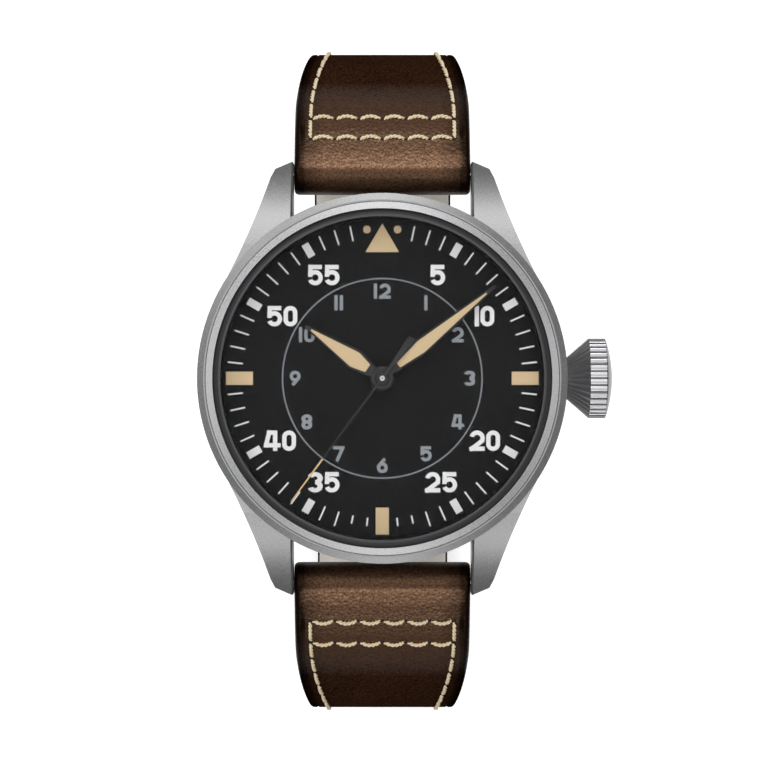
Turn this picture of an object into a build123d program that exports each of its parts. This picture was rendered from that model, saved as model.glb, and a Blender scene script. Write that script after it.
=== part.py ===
from build123d import *
import os
from math import atan2, cos, degrees, hypot, pi, radians, sin, sqrt

# A pilot watch standing on its open strap. Millimetres. The dial looks up along +Z, twelve
# o'clock is +Y and the crown is +X. The origin is on the dial's axis, on the case back's face.

# Clearances and small common sizes
running_gap = 0.04
tooth_gap_depth_share = 1.25
tooth_height_share = 0.9
tooth_root_share = 0.62
tooth_tip_share = 0.3
end_shake = 0.05
overrun = 1.0
seat_gap = 0.02

# Case middle, heights from the case back's outer face
case_radius = 21.5
case_wall = 2.2
case_bottom = 1.3
case_top = 10.6
case_foot_rise = 2.3
case_foot_inset = 0.8
case_shoulder_drop = 0.35
case_shoulder_inset = 0.75
case_neck_width = 0.2
case_neck_rise = 0.5
case_thread_width = 0.4
case_side_bottom = case_bottom + case_foot_rise
case_side_top = case_top - case_shoulder_drop
case_foot_radius = case_radius - case_foot_inset
case_shoulder_radius = case_radius - case_shoulder_inset
case_bore_radius = case_radius - case_wall
case_neck_radius = case_bore_radius + case_neck_width
case_neck_top = case_top + case_neck_rise
case_thread_radius = case_bore_radius - case_thread_width

# Spring bars between the lugs; the strap's fold round them just clears the case
strap_fold_radius = 2.4
strap_case_gap = 0.2
bar_reach = case_radius + strap_case_gap + strap_fold_radius
bar_height = 2.3
bar_radius = 0.75
bar_end_gap = 0.15
bar_shoulder_length = 0.9
bar_shoulder_radius = 0.6
bar_tip_radius = 0.4
bar_tip_length = 1.1
bar_hole_gap = 0.04
bar_hole_depth = 1.35

# Lugs: lengths are counted back from the tip
lug_gap = 21.0
lug_tip_length = 1.56
lug_tip_reach = bar_reach + lug_tip_length
lug_tip_width = 2.1
lug_tip_slant = 1.0
lug_shoulder_drop = 2.1
lug_shoulder_width = 2.62
lug_middle_drop = 7.26
lug_middle_width = 4.42
lug_root_angle = 33.6
lug_start_reach = 9.0
lug_tip_top = 3.7
lug_tip_bottom = 0.55
lug_bend_drop = 4.46
lug_bend_height = 7.9
lug_top_length = 10.06
lug_top_start_drop = 0.35
lug_edge_bevel = 0.2

# Bezel, crystal, its gasket and the sloping ring under it
bezel_inset = 0.27
bezel_edge_inset = 0.1
bezel_lip = 0.1
bezel_height = 1.8
bezel_outer_radius = case_shoulder_radius - bezel_inset
bezel_face_radius = bezel_outer_radius - bezel_edge_inset
bezel_inner_face_radius = case_neck_radius + bezel_lip
bezel_top = case_top + bezel_height
bezel_outer_edge_drop = 0.18
bezel_foot_step = 0.3
crystal_gasket_width = 0.5
crystal_radius = case_neck_radius - crystal_gasket_width
crystal_edge_thickness = 1.35
crystal_dome_rise = 0.95
crystal_bevel = 0.22
gasket_top_drop = 0.55
flange_foot_width = 0.68
flange_top_width = 0.32

# Case back with its window
back_flange_inset = 1.2
back_face_inset = 1.9
back_edge_inset = 0.6
back_edge_rise = 0.55
back_seat_gap = 0.05
back_spigot_height = 1.3
back_spigot_gap = 0.06
back_flange_radius = case_radius - back_flange_inset
back_face_radius = back_flange_radius - back_face_inset
back_edge_radius = back_flange_radius - back_edge_inset
back_flange_top = case_bottom - back_seat_gap
back_spigot_top = back_flange_top + back_spigot_height
back_spigot_radius = case_thread_radius - back_spigot_gap
back_window_radius = 15.2
back_window_seat = 0.55
back_bore_radius = back_window_radius + back_window_seat
back_lip_thickness = 0.35
back_window_thickness = 0.9
back_notch_count = 8
back_notch_width = 1.9
back_notch_depth = 0.9
back_notch_inset = 0.5
back_notch_reach = back_face_radius + back_notch_inset
back_flange_gap = 0.06
back_gasket_inset = 0.26
back_gasket_width = 0.4
back_gasket_depth = 0.35
back_gasket_inner_radius = back_spigot_radius + back_gasket_inset
back_gasket_outer_radius = back_gasket_inner_radius + back_gasket_width

# Crown, its tube and the winding stem, heights as above, reach along +X from the dial's axis
stem_height = 6.2
crown_side_gap = 0.08
crown_cone_length = 2.57
crown_grip_length = 1.9
crown_dome_length = 0.85
crown_neck_radius = 2.45
crown_radius = 4.68
crown_shoulder_reach = case_radius + crown_side_gap + crown_cone_length
crown_rim_reach = crown_shoulder_reach + crown_grip_length
crown_dome_reach = crown_rim_reach + crown_dome_length
crown_rim_bevel = 0.3
crown_flute_count = 32
crown_flute_depth = 0.24
crown_neck_flute_depth = 0.1
crown_recess_depth = 1.45
crown_tube_radius = 1.5
crown_tube_bore_radius = 0.95
crown_tube_inset = 0.05
crown_tube_stand = 1.35
crown_tube_inner_reach = case_bore_radius - crown_tube_inset
crown_tube_outer_reach = case_radius + crown_tube_stand
crown_recess_gap = 0.1
crown_travel = 2.0
stem_radius = 0.5
stem_groove_radius = 0.25
stem_groove_start = 12.45
stem_groove_length = 0.9
stem_inner_reach = 8.6
stem_crown_depth = 0.85
stem_outer_reach = crown_shoulder_reach + stem_crown_depth
winding_pinion_start = 10.45
winding_pinion_length = 1.4
winding_pinion_radius = 1.35
winding_pinion_teeth = 16
sliding_pinion_length = 1.05
sliding_pinion_radius = 1.15
sliding_pinion_groove_radius = 0.8
sliding_pinion_groove_length = 0.4
sliding_pinion_gap = 0.06
stem_tooth_depth = 0.22

# Setting lever, whose pin stands in the stem's groove
lever_pivot_reach = 13.9
lever_pivot_offset = 3.62
lever_pin_offset = 0.6
lever_pin_radius = 0.18
lever_half_stroke = crown_travel / 2
lever_bottom = 5.2
lever_thickness = 0.3
lever_width = 0.9
lever_boss_radius = 0.55
lever_pin_top = 6.5

# Movement ring and main plate
movement_ring_bottom = 2.75
movement_ring_gap = 0.1
movement_ring_outer_radius = case_bore_radius - movement_ring_gap
movement_plate_gap = 0.05
movement_stem_hole_radius = 1.1
plate_radius = 16.3
plate_rim_width = 0.55
plate_rim_radius = plate_radius - plate_rim_width
plate_bottom = 6.65
plate_top = 7.8
keyless_slot_start = 7.9
keyless_slot_half_width = 1.6
keyless_slot_bottom = 4.7
keyless_slot_top = 7.62
pillar_radius = 1.0

# Bridges, all on the plate's rim
bridge_bottom = 2.95
bridge_top = 3.85
bridge_split = 1.4
bridge_split_gap = 0.3
train_bridge_left = -3.95
cock_width = 3.0
cock_round_radius = 1.6
cock_foot_x = -13.6
cock_foot_y = -1.6
pallet_bridge_bottom = 4.7
pallet_bridge_top = 5.1
pallet_bridge_half_length = 3.5
pallet_bridge_width = 1.3
pallet_foot_radius = 0.7

# Automatic bridge, rotor and reversing wheel
automatic_bottom = 2.45
automatic_hub_radius = 3.1
automatic_arm_width = 5.4
automatic_pad_x = -10.5
automatic_pad_y = 7.6
automatic_lower_pad_x = 4.0
automatic_lower_pad_y = -9.8
automatic_lower_arm_width = 3.0
rotor_plate_bottom = 1.7
rotor_plate_top = 2.0
rotor_rim_bottom = 1.45
rotor_rim_top = 2.3
rotor_radius = 14.9
rotor_rim_inner_radius = 12.5
rotor_hub_radius = 2.9
rotor_window_radius = 11.2
rotor_window_inner_radius = 4.4
rotor_window_angle = 58.0
rotor_step_angle = 7.0
bearing_radius = 1.2
bearing_head_radius = 1.9
bearing_head_bottom = 1.42
bearing_head_top = 1.65
rotor_pinion_teeth = 18
rotor_pinion_module = 0.2
reversing_wheel_teeth = 34
reversing_wheel_angle = 165.0
reversing_wheel_bottom = 2.08
reversing_wheel_top = 2.35
reversing_pin_radius = 0.35
reversing_pin_depth = 0.3

# Barrel, ratchet wheel and crown wheel
barrel_angle = 60.0
barrel_teeth = 84
barrel_module = 0.17
barrel_drum_radius = 6.7
barrel_wall = 0.3
barrel_bottom = 5.0
barrel_top = 6.5
barrel_teeth_height = 0.4
barrel_lid_thickness = 0.2
barrel_arbor_radius = 0.9
barrel_core_radius = 1.2
mainspring_thickness = 0.14
mainspring_inner_radius = 1.45
mainspring_turns = 9
mainspring_pitch = 0.52
ratchet_teeth = 30
crown_wheel_teeth = 22
wheel_bottom = 2.62
wheel_top = 2.9
crown_wheel_x = 11.0
crown_wheel_y = 4.2
crown_wheel_hub_radius = 1.2
crown_wheel_lower_bottom = 4.2
crown_wheel_lower_top = 4.75
crown_wheel_lower_radius = 3.7
crown_wheel_lower_teeth = 28
click_x = -2.4
click_y = 10.6
click_width = 0.7
click_boss_radius = 0.7
click_stand_off = 0.12

# Going train: wheel and pinion pairs share a module
centre_pinion_teeth = 12
centre_pinion_height = 0.5
centre_wheel_teeth = 80
third_pinion_teeth = 10
centre_third_module = 0.12
centre_wheel_bottom = 4.7
third_wheel_teeth = 75
fourth_pinion_teeth = 10
third_wheel_bottom = 4.35
third_wheel_angle = -45.0
fourth_wheel_teeth = 84
escape_pinion_teeth = 7
fourth_escape_module = 0.115
escape_pinion_height_share = 0.6
fourth_wheel_bottom = 4.0
escape_angle = -120.0
train_wheel_thickness = 0.15
train_rim_width = 0.5
train_spoke_width = 0.45
train_spoke_count = 5
train_hub_radius = 0.95
arbor_radius = 0.22
pivot_radius = 0.12
pivot_length = 0.6
centre_tube_radius = 0.52
centre_tube_bore_radius = 0.3
centre_tube_top = 9.6
seconds_arbor_radius = 0.25

# Escapement and balance
escape_tooth_count = 20
escape_wheel_radius = 2.4
escape_tooth_length = 0.42
escape_rim_width = 0.3
# Turn of a tooth's four corners, counted in teeth: foot, tip, back of the tip, next foot
escape_tooth_turn_shares = (0, 0.25, 0.4, 0.34)
escape_wheel_bottom = 5.3
escape_wheel_thickness = 0.2
pallet_distance = 2.9
balance_distance = 6.8
escapement_direction = -150.0
pallet_stone_radius = 2.68
pallet_stone_angle = 50.0
pallet_stone_length = 0.62
pallet_stone_width = 0.26
pallet_arm_width = 0.36
pallet_fork_length = 2.75
pallet_fork_width = 0.42
pallet_notch_width = 0.24
pallet_notch_depth = 0.28
balance_radius = 3.9
balance_rim_width = 0.42
balance_arm_width = 0.5
balance_bottom = 4.1
balance_top = 4.45
balance_screw_count = 8
balance_screw_radius = 0.16
balance_screw_length = 0.3
roller_radius = 1.15
roller_bottom = 4.9
roller_top = 5.05
impulse_pin_radius = 0.09
impulse_pin_reach = 0.9
impulse_pin_top = 5.6
balance_staff_radius = 0.22
hairspring_bottom = 3.9
hairspring_height = 0.1
hairspring_thickness = 0.05
hairspring_inner_radius = 0.62
hairspring_turns = 9
hairspring_pitch = 0.2

# Jewels and screws
jewel_radius = 0.6
screw_head_radius = 0.8
screw_head_height = 0.24
screw_shank_radius = 0.38
screw_slot_width = 0.22
screw_slot_depth = 0.1
screw_places = {
    "barrel_bridge": [(-4.5, 13.2), (-13.6, 3.6)],
    "train_bridge": [(9.8, -9.6), (-1.2, -13.6)],
    "balance_cock": [(cock_foot_x, cock_foot_y)],
}

# Motion works on the dial side of the plate
motion_module = 0.18
cannon_teeth = 12
minute_wheel_teeth = 36
minute_pinion_teeth = 10
minute_pinion_height_share = 0.7
hour_wheel_teeth = 40
minute_wheel_angle = -60.0
minute_wheel_bottom = 7.9
minute_wheel_thickness = 0.2
minute_stud_radius = 0.35
cannon_bottom = 7.86
cannon_tube_radius = 0.82
hour_wheel_bottom = 8.22
hour_wheel_thickness = 0.2
hour_tube_radius = 1.12
motion_hub_gap = 0.05

# Dial and its print
dial_bottom = 8.8
dial_thickness = 0.4
dial_top = dial_bottom + dial_thickness
dial_edge_gap = 0.4
dial_hole_radius = 1.3
print_thickness = 0.03
tick_inner_radius = 16.3
tick_outer_radius = 18.05
tick_width = 0.19
tick_count = 60
short_tick_minutes = (28, 29, 31, 32)
short_tick_length = 0.95
block_outer_radius = 18.0
block_length = 1.67
block_width = 0.88
block_thickness = 0.1
numeral_height = 2.37
numeral_width = 1.77
numeral_stroke = 0.5
numeral_spacing = 0.18
# Each number's middle, across and up from the dial's axis
numeral_places = (("5", 6.42, 12.0), ("55", -6.83, 12.0), ("10", 11.87, 7.22), ("50", -11.65, 7.22),
                  ("20", 11.9, -7.25), ("40", -11.9, -7.25), ("25", 6.83, -12.08),
                  ("35", -6.83, -12.08))
hour_numeral_radius = 10.13
hour_numeral_height = 1.77
hour_numeral_width = 1.34
hour_numeral_stroke = 0.38
hour_numeral_spacing = 0.25
# Digits: widths are shares of the usual one; a place is shares of (half the width across, half
# the height up, half the width up); a bowl is its middle, its radius in shares of half the
# width and half the height, and its first angle and sweep
digit_width_shares = {"0": 0.9, "1": 0.28, "4": 1.1, "6": 0.94, "8": 0.94, "9": 0.94}
digit_line_shares = {
    "0": [((-1, -1, 1), (-1, 1, -1)), ((1, -1, 1), (1, 1, -1))],
    "1": [((0, -1, 0), (0, 1, 0))],
    "2": [((0.82, 1, -1.57), (-0.95, -1, 0)), ((-1, -1, 0), (1, -1, 0))],
    "4": [((0.46, -1, 0), (0.46, 1, 0)), ((-1, -0.57, 0), (1, -0.57, 0)),
          ((-0.5, 1, 0), (-1, -0.57, 0)), ((-0.5, 1, 0), (0.46, 1, 0))],
    "5": [((-0.85, 1, 0), (0.85, 1, 0)), ((-0.9, 0.05, 0), (-0.85, 1, 0))],
    "6": [((-0.88, -1, 1.5), (0.4, 1, -0.1))],
    "7": [((-1, 1, 0), (1, 1, 0)), ((0.9, 0.9, 0), (-0.3, -1, 0))],
}
# Digits of two round bowls, stretched to their width
stretched_digits = ("3", "8")
digit_bowl_shares = {
    "0": [((0, 1, -1), 1, 0, 0, 180), ((0, -1, 1), 1, 0, 180, 180)],
    "2": [((0, 1, -1), 1, 0, -35, 200)],
    "3": [((0, 0.5, 0), 0, 0.5, -90, 250), ((0, -0.5, 0), 0, 0.5, 90, -250)],
    "5": [((0, -1, 1), 1, 0, 140, -295)],
    "6": [((0, -1, 1), 1, 0, 0, 180), ((0, -1, 1), 1, 0, 180, 180)],
    "8": [((0, 0.5, 0), 0, 0.5, 0, 180), ((0, 0.5, 0), 0, 0.5, 180, 180),
          ((0, -0.5, 0), 0, 0.5, 0, 180), ((0, -0.5, 0), 0, 0.5, 180, 180)],
}
hour_ring_radius = 11.6
hour_ring_width = 0.14
baton_inner_radius = 15.03
baton_outer_radius = 18.17
baton_width = 1.55
triangle_apex_radius = 18.0
triangle_base_radius = 14.66
triangle_base_width = 3.93
lume_dot_radius = 0.45
lume_dot_offset = 1.78
lume_dot_reach = 17.29
lume_thickness = 0.12

# Hands, reach from the dial's axis; the time shown is 10:08:36
hour_hand_bottom = 9.6
minute_hand_bottom = 10.05
seconds_hand_bottom = 10.5
hand_thickness = 0.2
hand_lume_rise = 0.05
hour_hand_angle = 304.2
minute_hand_angle = 50.8
seconds_hand_angle = 216.5
hour_hand_hub_radius = 1.42
hour_hand_neck_half_width = 0.55
hour_hand_inner_reach = 1.75
hour_hand_inner_half_width = 0.78
hour_hand_wide_reach = 3.85
hour_hand_wide_half_width = 1.27
hour_hand_reach = 10.8
hour_hand_tip_half_width = 0.2
hour_lume_inner_reach = 2.04
hour_lume_inner_half_width = 0.52
hour_lume_wide_half_width = 0.97
hour_lume_reach = 10.0
hour_lume_tip_half_width = 0.1
minute_hand_hub_radius = 1.29
minute_hand_neck_half_width = 0.42
minute_hand_inner_reach = 2.0
minute_hand_inner_half_width = 0.56
minute_hand_wide_reach = 5.75
minute_hand_wide_half_width = 1.02
minute_hand_reach = 17.0
minute_hand_tip_half_width = 0.2
minute_lume_inner_reach = 2.4
minute_lume_inner_half_width = 0.34
minute_lume_wide_half_width = 0.76
minute_lume_reach = 15.6
minute_lume_tip_half_width = 0.09
seconds_hand_hub_radius = 0.66
seconds_hand_reach = 17.75
seconds_hand_tip_width = 0.15
seconds_hand_hub_width = 0.3
seconds_hand_tail_reach = 5.86
seconds_hand_tail_width = 0.92
seconds_cap_radius = 0.3
seconds_cap_rise = 0.12

# Strap halves: the line through the middle of the leather, from the spring bar
strap_side_gap = 0.1
strap_width = lug_gap - 2 * strap_side_gap
strap_end_width = 18.0
strap_taper_start = 8.0
strap_taper_end = 26.0
strap_drop_angle = 30.0
strap_top_first_run = 4.6
strap_bottom_first_run = 5.3
strap_shoulder_radius = 22.0
strap_side_run = 4.0
strap_low_side_run = 22.6
strap_heel_radius = 18.0
strap_root_inset = 0.1
strap_root_thickness = 2 * (strap_fold_radius - strap_root_inset)
strap_body_thickness = 3.0
strap_end_thickness = 2.4
strap_tail_thickness = 2.2
strap_root_length = 4.0
strap_body_length = 13.0
strap_fold_gap = 0.05
strap_flat_run = 19.0
strap_long_length = 113.0
strap_tip_length = 9.0
strap_tip_width = 7.0
strap_section_step = 2.6
lining_thickness = 0.9
lining_start = 9.0
strap_hole_count = 7
strap_hole_pitch = 6.5
strap_first_hole = 17.0
strap_hole_radius = 1.05

# Pin buckle, keepers
buckle_bar_radius = 0.75
buckle_bar_length = 19.9
buckle_bar_offset = 0.9
buckle_wire = 2.2
buckle_length = 12.6
buckle_side_width = 2.1
buckle_front_width = 2.6
buckle_inner_width = 18.5
buckle_corner_radius = 3.0
buckle_ear_radius = 1.25
buckle_end_gap = 0.25
buckle_loop_radius = 1.25
tang_width = 1.7
tang_thickness = 1.1
tang_gap = 0.06
tang_slot_gap = 0.35
tang_slot_length = 6.0
tang_overhang = 0.5
keeper_wall = 1.1
keeper_length = 5.2
keeper_gap = 0.16
keeper_tail_room = 2.6
keeper_corner_radius = 0.8
fixed_keeper_offset = 1.7
free_keeper_offset = 0.6


def polar(radius, angle):
    """A point at an angle counted anticlockwise from +X, in degrees."""
    return radius * cos(radians(angle)), radius * sin(radians(angle))


def disc(radius, bottom, top, centre=(0, 0)):
    """An upright cylinder between two heights."""
    return extrude(Plane((*centre, bottom)) * Circle(radius), amount=top - bottom)


def ring(outer, inner, bottom, top, centre=(0, 0)):
    """An upright tube between two heights."""
    return extrude(Plane((*centre, bottom)) * (Circle(outer) - Circle(inner)), amount=top - bottom)


def prism(points, bottom, top):
    """An upright prism over a closed outline."""
    face = make_face(Polyline(*[(x, y, bottom) for x, y in points], close=True))
    return extrude(face, amount=top - bottom, dir=(0, 0, 1))


def lathe(points):
    """A solid turned about the dial's axis, from an outline of (radius, height) points."""
    outline = make_face(Polyline(*[(radius, 0, height) for radius, height in points], close=True))
    return revolve(outline, Axis.Z, 360)


def lying_cylinder(radius, start, end, height, reach_y=0):
    """A cylinder along X between two places."""
    plane = Plane((start, reach_y, height), x_dir=(0, 1, 0), z_dir=(1, 0, 0))
    return extrude(plane * Circle(radius), amount=end - start)


def long_bar(start, end, width, bottom, top):
    """A bar with round ends between two places in plan."""
    length = hypot(end[0] - start[0], end[1] - start[1])
    angle = degrees(atan2(end[1] - start[1], end[0] - start[0]))
    middle = ((start[0] + end[0]) / 2, (start[1] + end[1]) / 2, bottom)
    outline = Pos(*middle) * Rot(0, 0, angle) * SlotCenterToCenter(length, width)
    return extrude(outline, amount=top - bottom)


def solids_of(shape):
    """The single solids of a shape, as a list."""
    return list(shape.solids())


def group(shapes):
    """Separate solids that share one node."""
    return Compound(children=[solid for shape in shapes for solid in solids_of(shape)])


def gear_points(teeth, module, phase, centre, height_share=tooth_height_share):
    """The outline of a spur gear; a tooth points at the phase angle."""
    pitch_radius = module * teeth / 2
    tip = pitch_radius + height_share * module
    root = pitch_radius - tooth_gap_depth_share * module
    pitch_angle = 360 / teeth
    corners = (
        (root, -tooth_root_share / 2),
        (tip, -tooth_tip_share / 2),
        (tip, tooth_tip_share / 2),
        (root, tooth_root_share / 2),
    )
    points = []
    for tooth in range(teeth):
        for radius, turn_share in corners:
            x, y = polar(radius, phase + (tooth + turn_share) * pitch_angle)
            points.append((centre[0] + x, centre[1] + y))
    return points


def gear(teeth, module, phase, bottom, top, centre=(0, 0), height_share=tooth_height_share):
    """A solid spur gear between two heights."""
    return prism(gear_points(teeth, module, phase, centre, height_share), bottom, top)


def mate_phase(direction, teeth):
    """The phase that puts a gap of the mating gear where a tooth points in the direction."""
    return direction + 180 + 180 / teeth


def spoked_wheel(teeth, module, phase, bottom, centre):
    """A train wheel: a toothed rim on thin spokes."""
    top = bottom + train_wheel_thickness
    rim_inner = module * teeth / 2 - tooth_gap_depth_share * module - train_rim_width
    wheel = gear(teeth, module, phase, bottom, top, centre)
    wheel -= ring(rim_inner, train_hub_radius, bottom - overrun, top + overrun, centre)
    for spoke in range(train_spoke_count):
        far = polar(rim_inner + train_rim_width / 2, phase + spoke * 360 / train_spoke_count)
        end = (centre[0] + far[0], centre[1] + far[1])
        wheel += long_bar(centre, end, train_spoke_width, bottom, top)
    return wheel


def arbor(centre):
    """A steel arbor between bridge and plate, with a fine pivot at each end."""
    low = bridge_top + end_shake
    high = plate_bottom - end_shake
    shaft = disc(arbor_radius, low, high, centre)
    return shaft + disc(pivot_radius, low - pivot_length, high + pivot_length, centre)


# Places in the movement that several pieces share
origin_place = (0, 0)
barrel_distance = barrel_module * (barrel_teeth + centre_pinion_teeth) / 2
barrel_place = polar(barrel_distance, barrel_angle)
third_distance = centre_third_module * (centre_wheel_teeth + third_pinion_teeth) / 2
third_place = polar(third_distance, third_wheel_angle)
third_fourth_module = 2 * third_distance / (third_wheel_teeth + fourth_pinion_teeth)
escape_distance = fourth_escape_module * (fourth_wheel_teeth + escape_pinion_teeth) / 2
escape_place = polar(escape_distance, escape_angle)
pallet_offset = polar(pallet_distance, escapement_direction)
pallet_place = (escape_place[0] + pallet_offset[0], escape_place[1] + pallet_offset[1])
balance_offset = polar(balance_distance, escapement_direction)
balance_place = (escape_place[0] + balance_offset[0], escape_place[1] + balance_offset[1])
motion_distance = motion_module * (cannon_teeth + minute_wheel_teeth) / 2
motion_second_module = 2 * motion_distance / (minute_pinion_teeth + hour_wheel_teeth)
minute_wheel_place = polar(motion_distance, minute_wheel_angle)
reversing_distance = rotor_pinion_module * (rotor_pinion_teeth + reversing_wheel_teeth) / 2
reversing_place = polar(reversing_distance, reversing_wheel_angle)
crown_wheel_place = (crown_wheel_x, crown_wheel_y)
crown_ratchet_distance = hypot(crown_wheel_x - barrel_place[0], crown_wheel_y - barrel_place[1])
crown_ratchet_module = 2 * crown_ratchet_distance / (ratchet_teeth + crown_wheel_teeth)
crown_ratchet_angle = degrees(
    atan2(crown_wheel_y - barrel_place[1], crown_wheel_x - barrel_place[0])
)
lever_place = (lever_pivot_reach, -lever_pivot_offset)
lever_pin_place = (lever_pivot_reach - lever_half_stroke, -lever_pin_offset)


def lug_profile(reach, inset):
    """A lug's side view at a place along X, its top and tip drawn in by an inset."""
    tip = lug_tip_reach - inset
    start = (lug_tip_reach - lug_top_length, case_top - lug_top_start_drop - inset)
    bend = (lug_tip_reach - lug_bend_drop, lug_bend_height - inset)
    foot = bar_reach - bar_height
    # The face's first axis lies along Y and its second along Z.
    side_plane = Plane(origin=(reach, 0, 0), x_dir=(0, 1, 0), z_dir=(1, 0, 0))
    return side_plane * make_face([
        Line((0, case_bottom), (0, start[1])),
        Line((0, start[1]), start),
        ThreePointArc(start, bend, (tip, lug_tip_top)),
        Line((tip, lug_tip_top), (tip, lug_tip_bottom)),
        Line((tip, lug_tip_bottom), (foot, lug_tip_bottom)),
        Line((foot, lug_tip_bottom), (start[0], case_bottom)),
        Line((start[0], case_bottom), (0, case_bottom)),
    ])


def lug(side_x, side_y):
    """One lug, as a plan outline cut by a side view, with a bevelled inner edge."""
    inner = lug_gap / 2
    tip_corner = (inner + lug_tip_width, lug_tip_reach - lug_tip_slant)
    shoulder = (inner + lug_shoulder_width, lug_tip_reach - lug_shoulder_drop)
    middle = (inner + lug_middle_width, lug_tip_reach - lug_middle_drop)
    root = polar(case_radius, lug_root_angle)
    start = (inner, lug_start_reach)
    plan = make_face([
        Line((inner, lug_tip_reach), tip_corner),
        Line(tip_corner, shoulder),
        ThreePointArc(shoulder, middle, root),
        Line(root, start),
        Line(start, (inner, lug_tip_reach)),
    ])
    bevel_end = inner + lug_edge_bevel
    side = loft([lug_profile(inner, lug_edge_bevel), lug_profile(bevel_end, 0)], ruled=True)
    side += extrude(lug_profile(bevel_end, 0), amount=case_radius, dir=(1, 0, 0))
    shape = extrude(plan, amount=case_top + overrun) & side
    shape -= lying_cylinder(bar_tip_radius + bar_hole_gap, inner - overrun,
                            inner + bar_hole_depth, bar_height, bar_reach)
    if side_x < 0:
        shape = mirror(shape, Plane.YZ)
    if side_y < 0:
        shape = mirror(shape, Plane.XZ)
    return shape


def case_middle():
    """The turned ring with four lugs."""
    body = lathe([
        (case_thread_radius, case_bottom),
        (case_foot_radius, case_bottom),
        (case_radius, case_side_bottom),
        (case_radius, case_side_top),
        (case_shoulder_radius, case_top),
        (case_neck_radius, case_top),
        (case_neck_radius, case_neck_top),
        (case_thread_radius, case_neck_top),
    ])
    for side_x in (1, -1):
        for side_y in (1, -1):
            body += lug(side_x, side_y)
    body -= disc(case_thread_radius, case_bottom - overrun, case_neck_top + overrun)
    body -= disc(case_bore_radius, movement_ring_bottom - seat_gap, case_neck_top + overrun)
    body -= disc(back_flange_radius + back_flange_gap, -overrun, case_bottom)
    body -= lying_cylinder(crown_tube_radius, 0, case_radius + overrun, stem_height)
    return body


def bezel():
    """The bezel, a ring with a flat bright face and a slope inside it."""
    return lathe([
        (case_neck_radius + seat_gap, case_top),
        (bezel_outer_radius, case_top),
        (bezel_outer_radius, bezel_top - bezel_foot_step),
        (bezel_face_radius, bezel_top - bezel_outer_edge_drop),
        (bezel_inner_face_radius, bezel_top),
        (case_neck_radius + seat_gap, bezel_top - gasket_top_drop),
    ])


def crystal():
    """The domed sapphire crystal with a bevelled edge."""
    bottom = case_neck_top + seat_gap
    edge_top = bottom + crystal_edge_thickness
    inner = crystal_radius - crystal_bevel
    shape = make_face([
        Line((0, bottom), (crystal_radius, bottom)),
        Line((crystal_radius, bottom), (crystal_radius, edge_top - crystal_bevel)),
        Line((crystal_radius, edge_top - crystal_bevel), (inner, edge_top)),
        dome_arc(inner, edge_top, crystal_dome_rise),
        Line((0, edge_top + crystal_dome_rise), (0, bottom)),
    ])
    side_plane = Plane(origin=(0, 0, 0), x_dir=(1, 0, 0), z_dir=(0, -1, 0))
    return revolve(side_plane * shape, Axis.Z, 360)


def dome_arc(radius, height, rise):
    """The arc of a shallow dome from its rim to its top."""
    sphere = (radius ** 2 + rise ** 2) / (2 * rise)
    middle_radius = radius / 2
    middle_height = height + rise - sphere + sqrt(sphere ** 2 - middle_radius ** 2)
    return ThreePointArc((radius, height), (middle_radius, middle_height), (0, height + rise))


def gaskets():
    """The black ring that the crystal is pressed into, and the seal of the case back."""
    bottom = case_neck_top
    crystal_seal = lathe([
        (crystal_radius + seat_gap, bottom),
        (case_neck_radius, bottom),
        (case_neck_radius, bezel_top - gasket_top_drop),
        (crystal_radius + seat_gap, bottom + crystal_edge_thickness - crystal_bevel),
    ])
    back_seal = ring(back_gasket_outer_radius, back_gasket_inner_radius,
                     back_flange_top - back_gasket_depth, case_bottom)
    return group([crystal_seal, back_seal])


def flange_ring():
    """The dark ring that slopes from the crystal down to the dial's edge."""
    return lathe([
        (case_bore_radius - flange_foot_width, dial_top),
        (case_bore_radius - seat_gap, dial_top),
        (case_bore_radius - seat_gap, case_neck_top),
        (case_bore_radius - flange_top_width, case_neck_top),
    ])


def case_back():
    """The screwed back: a flange with key notches and a rebate for its window."""
    body = lathe([
        (back_window_radius, 0),
        (back_face_radius, 0),
        (back_edge_radius, back_edge_rise),
        (back_flange_radius, back_flange_top),
        (back_spigot_radius, back_flange_top),
        (back_spigot_radius, back_spigot_top),
        (back_bore_radius, back_spigot_top),
        (back_bore_radius, back_lip_thickness),
        (back_window_radius, back_lip_thickness),
    ])
    for notch in range(back_notch_count):
        slot = Box(back_flange_radius - back_notch_reach + overrun, back_notch_width,
                   back_notch_depth, align=(Align.MIN, Align.CENTER, Align.MIN))
        angle = (notch + 1 / 2) * 360 / back_notch_count
        body -= Rot(0, 0, angle) * Pos(back_notch_reach, 0, 0) * slot
    groove_bottom = back_flange_top - back_gasket_depth
    body -= ring(back_gasket_outer_radius, back_gasket_inner_radius, groove_bottom,
                 back_flange_top + overrun)
    return body


def case_back_window():
    """The flat crystal in the case back."""
    bottom = back_lip_thickness
    return disc(back_bore_radius - seat_gap, bottom, bottom + back_window_thickness)


def crown_tube():
    """The tube in the case wall that the crown runs on."""
    tube = lying_cylinder(crown_tube_radius, crown_tube_inner_reach, crown_tube_outer_reach,
                          stem_height)
    return tube - lying_cylinder(crown_tube_bore_radius, 0, crown_tube_outer_reach + overrun,
                                 stem_height)


def fluted_outline(reach, radius, groove_depth):
    """A face across the stem's axis whose edge is a ring of round ridges."""
    edges = []
    pitch_angle = 360 / crown_flute_count
    groove_radius = radius - groove_depth
    for ridge in range(crown_flute_count):
        angle = ridge * pitch_angle
        edges.append(ThreePointArc(polar(groove_radius, angle),
                                   polar(radius, angle + pitch_angle / 2),
                                   polar(groove_radius, angle + pitch_angle)))
    plane = Plane(origin=(reach, 0, stem_height), x_dir=(0, 1, 0), z_dir=(1, 0, 0))
    return plane * make_face(edges)


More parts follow.
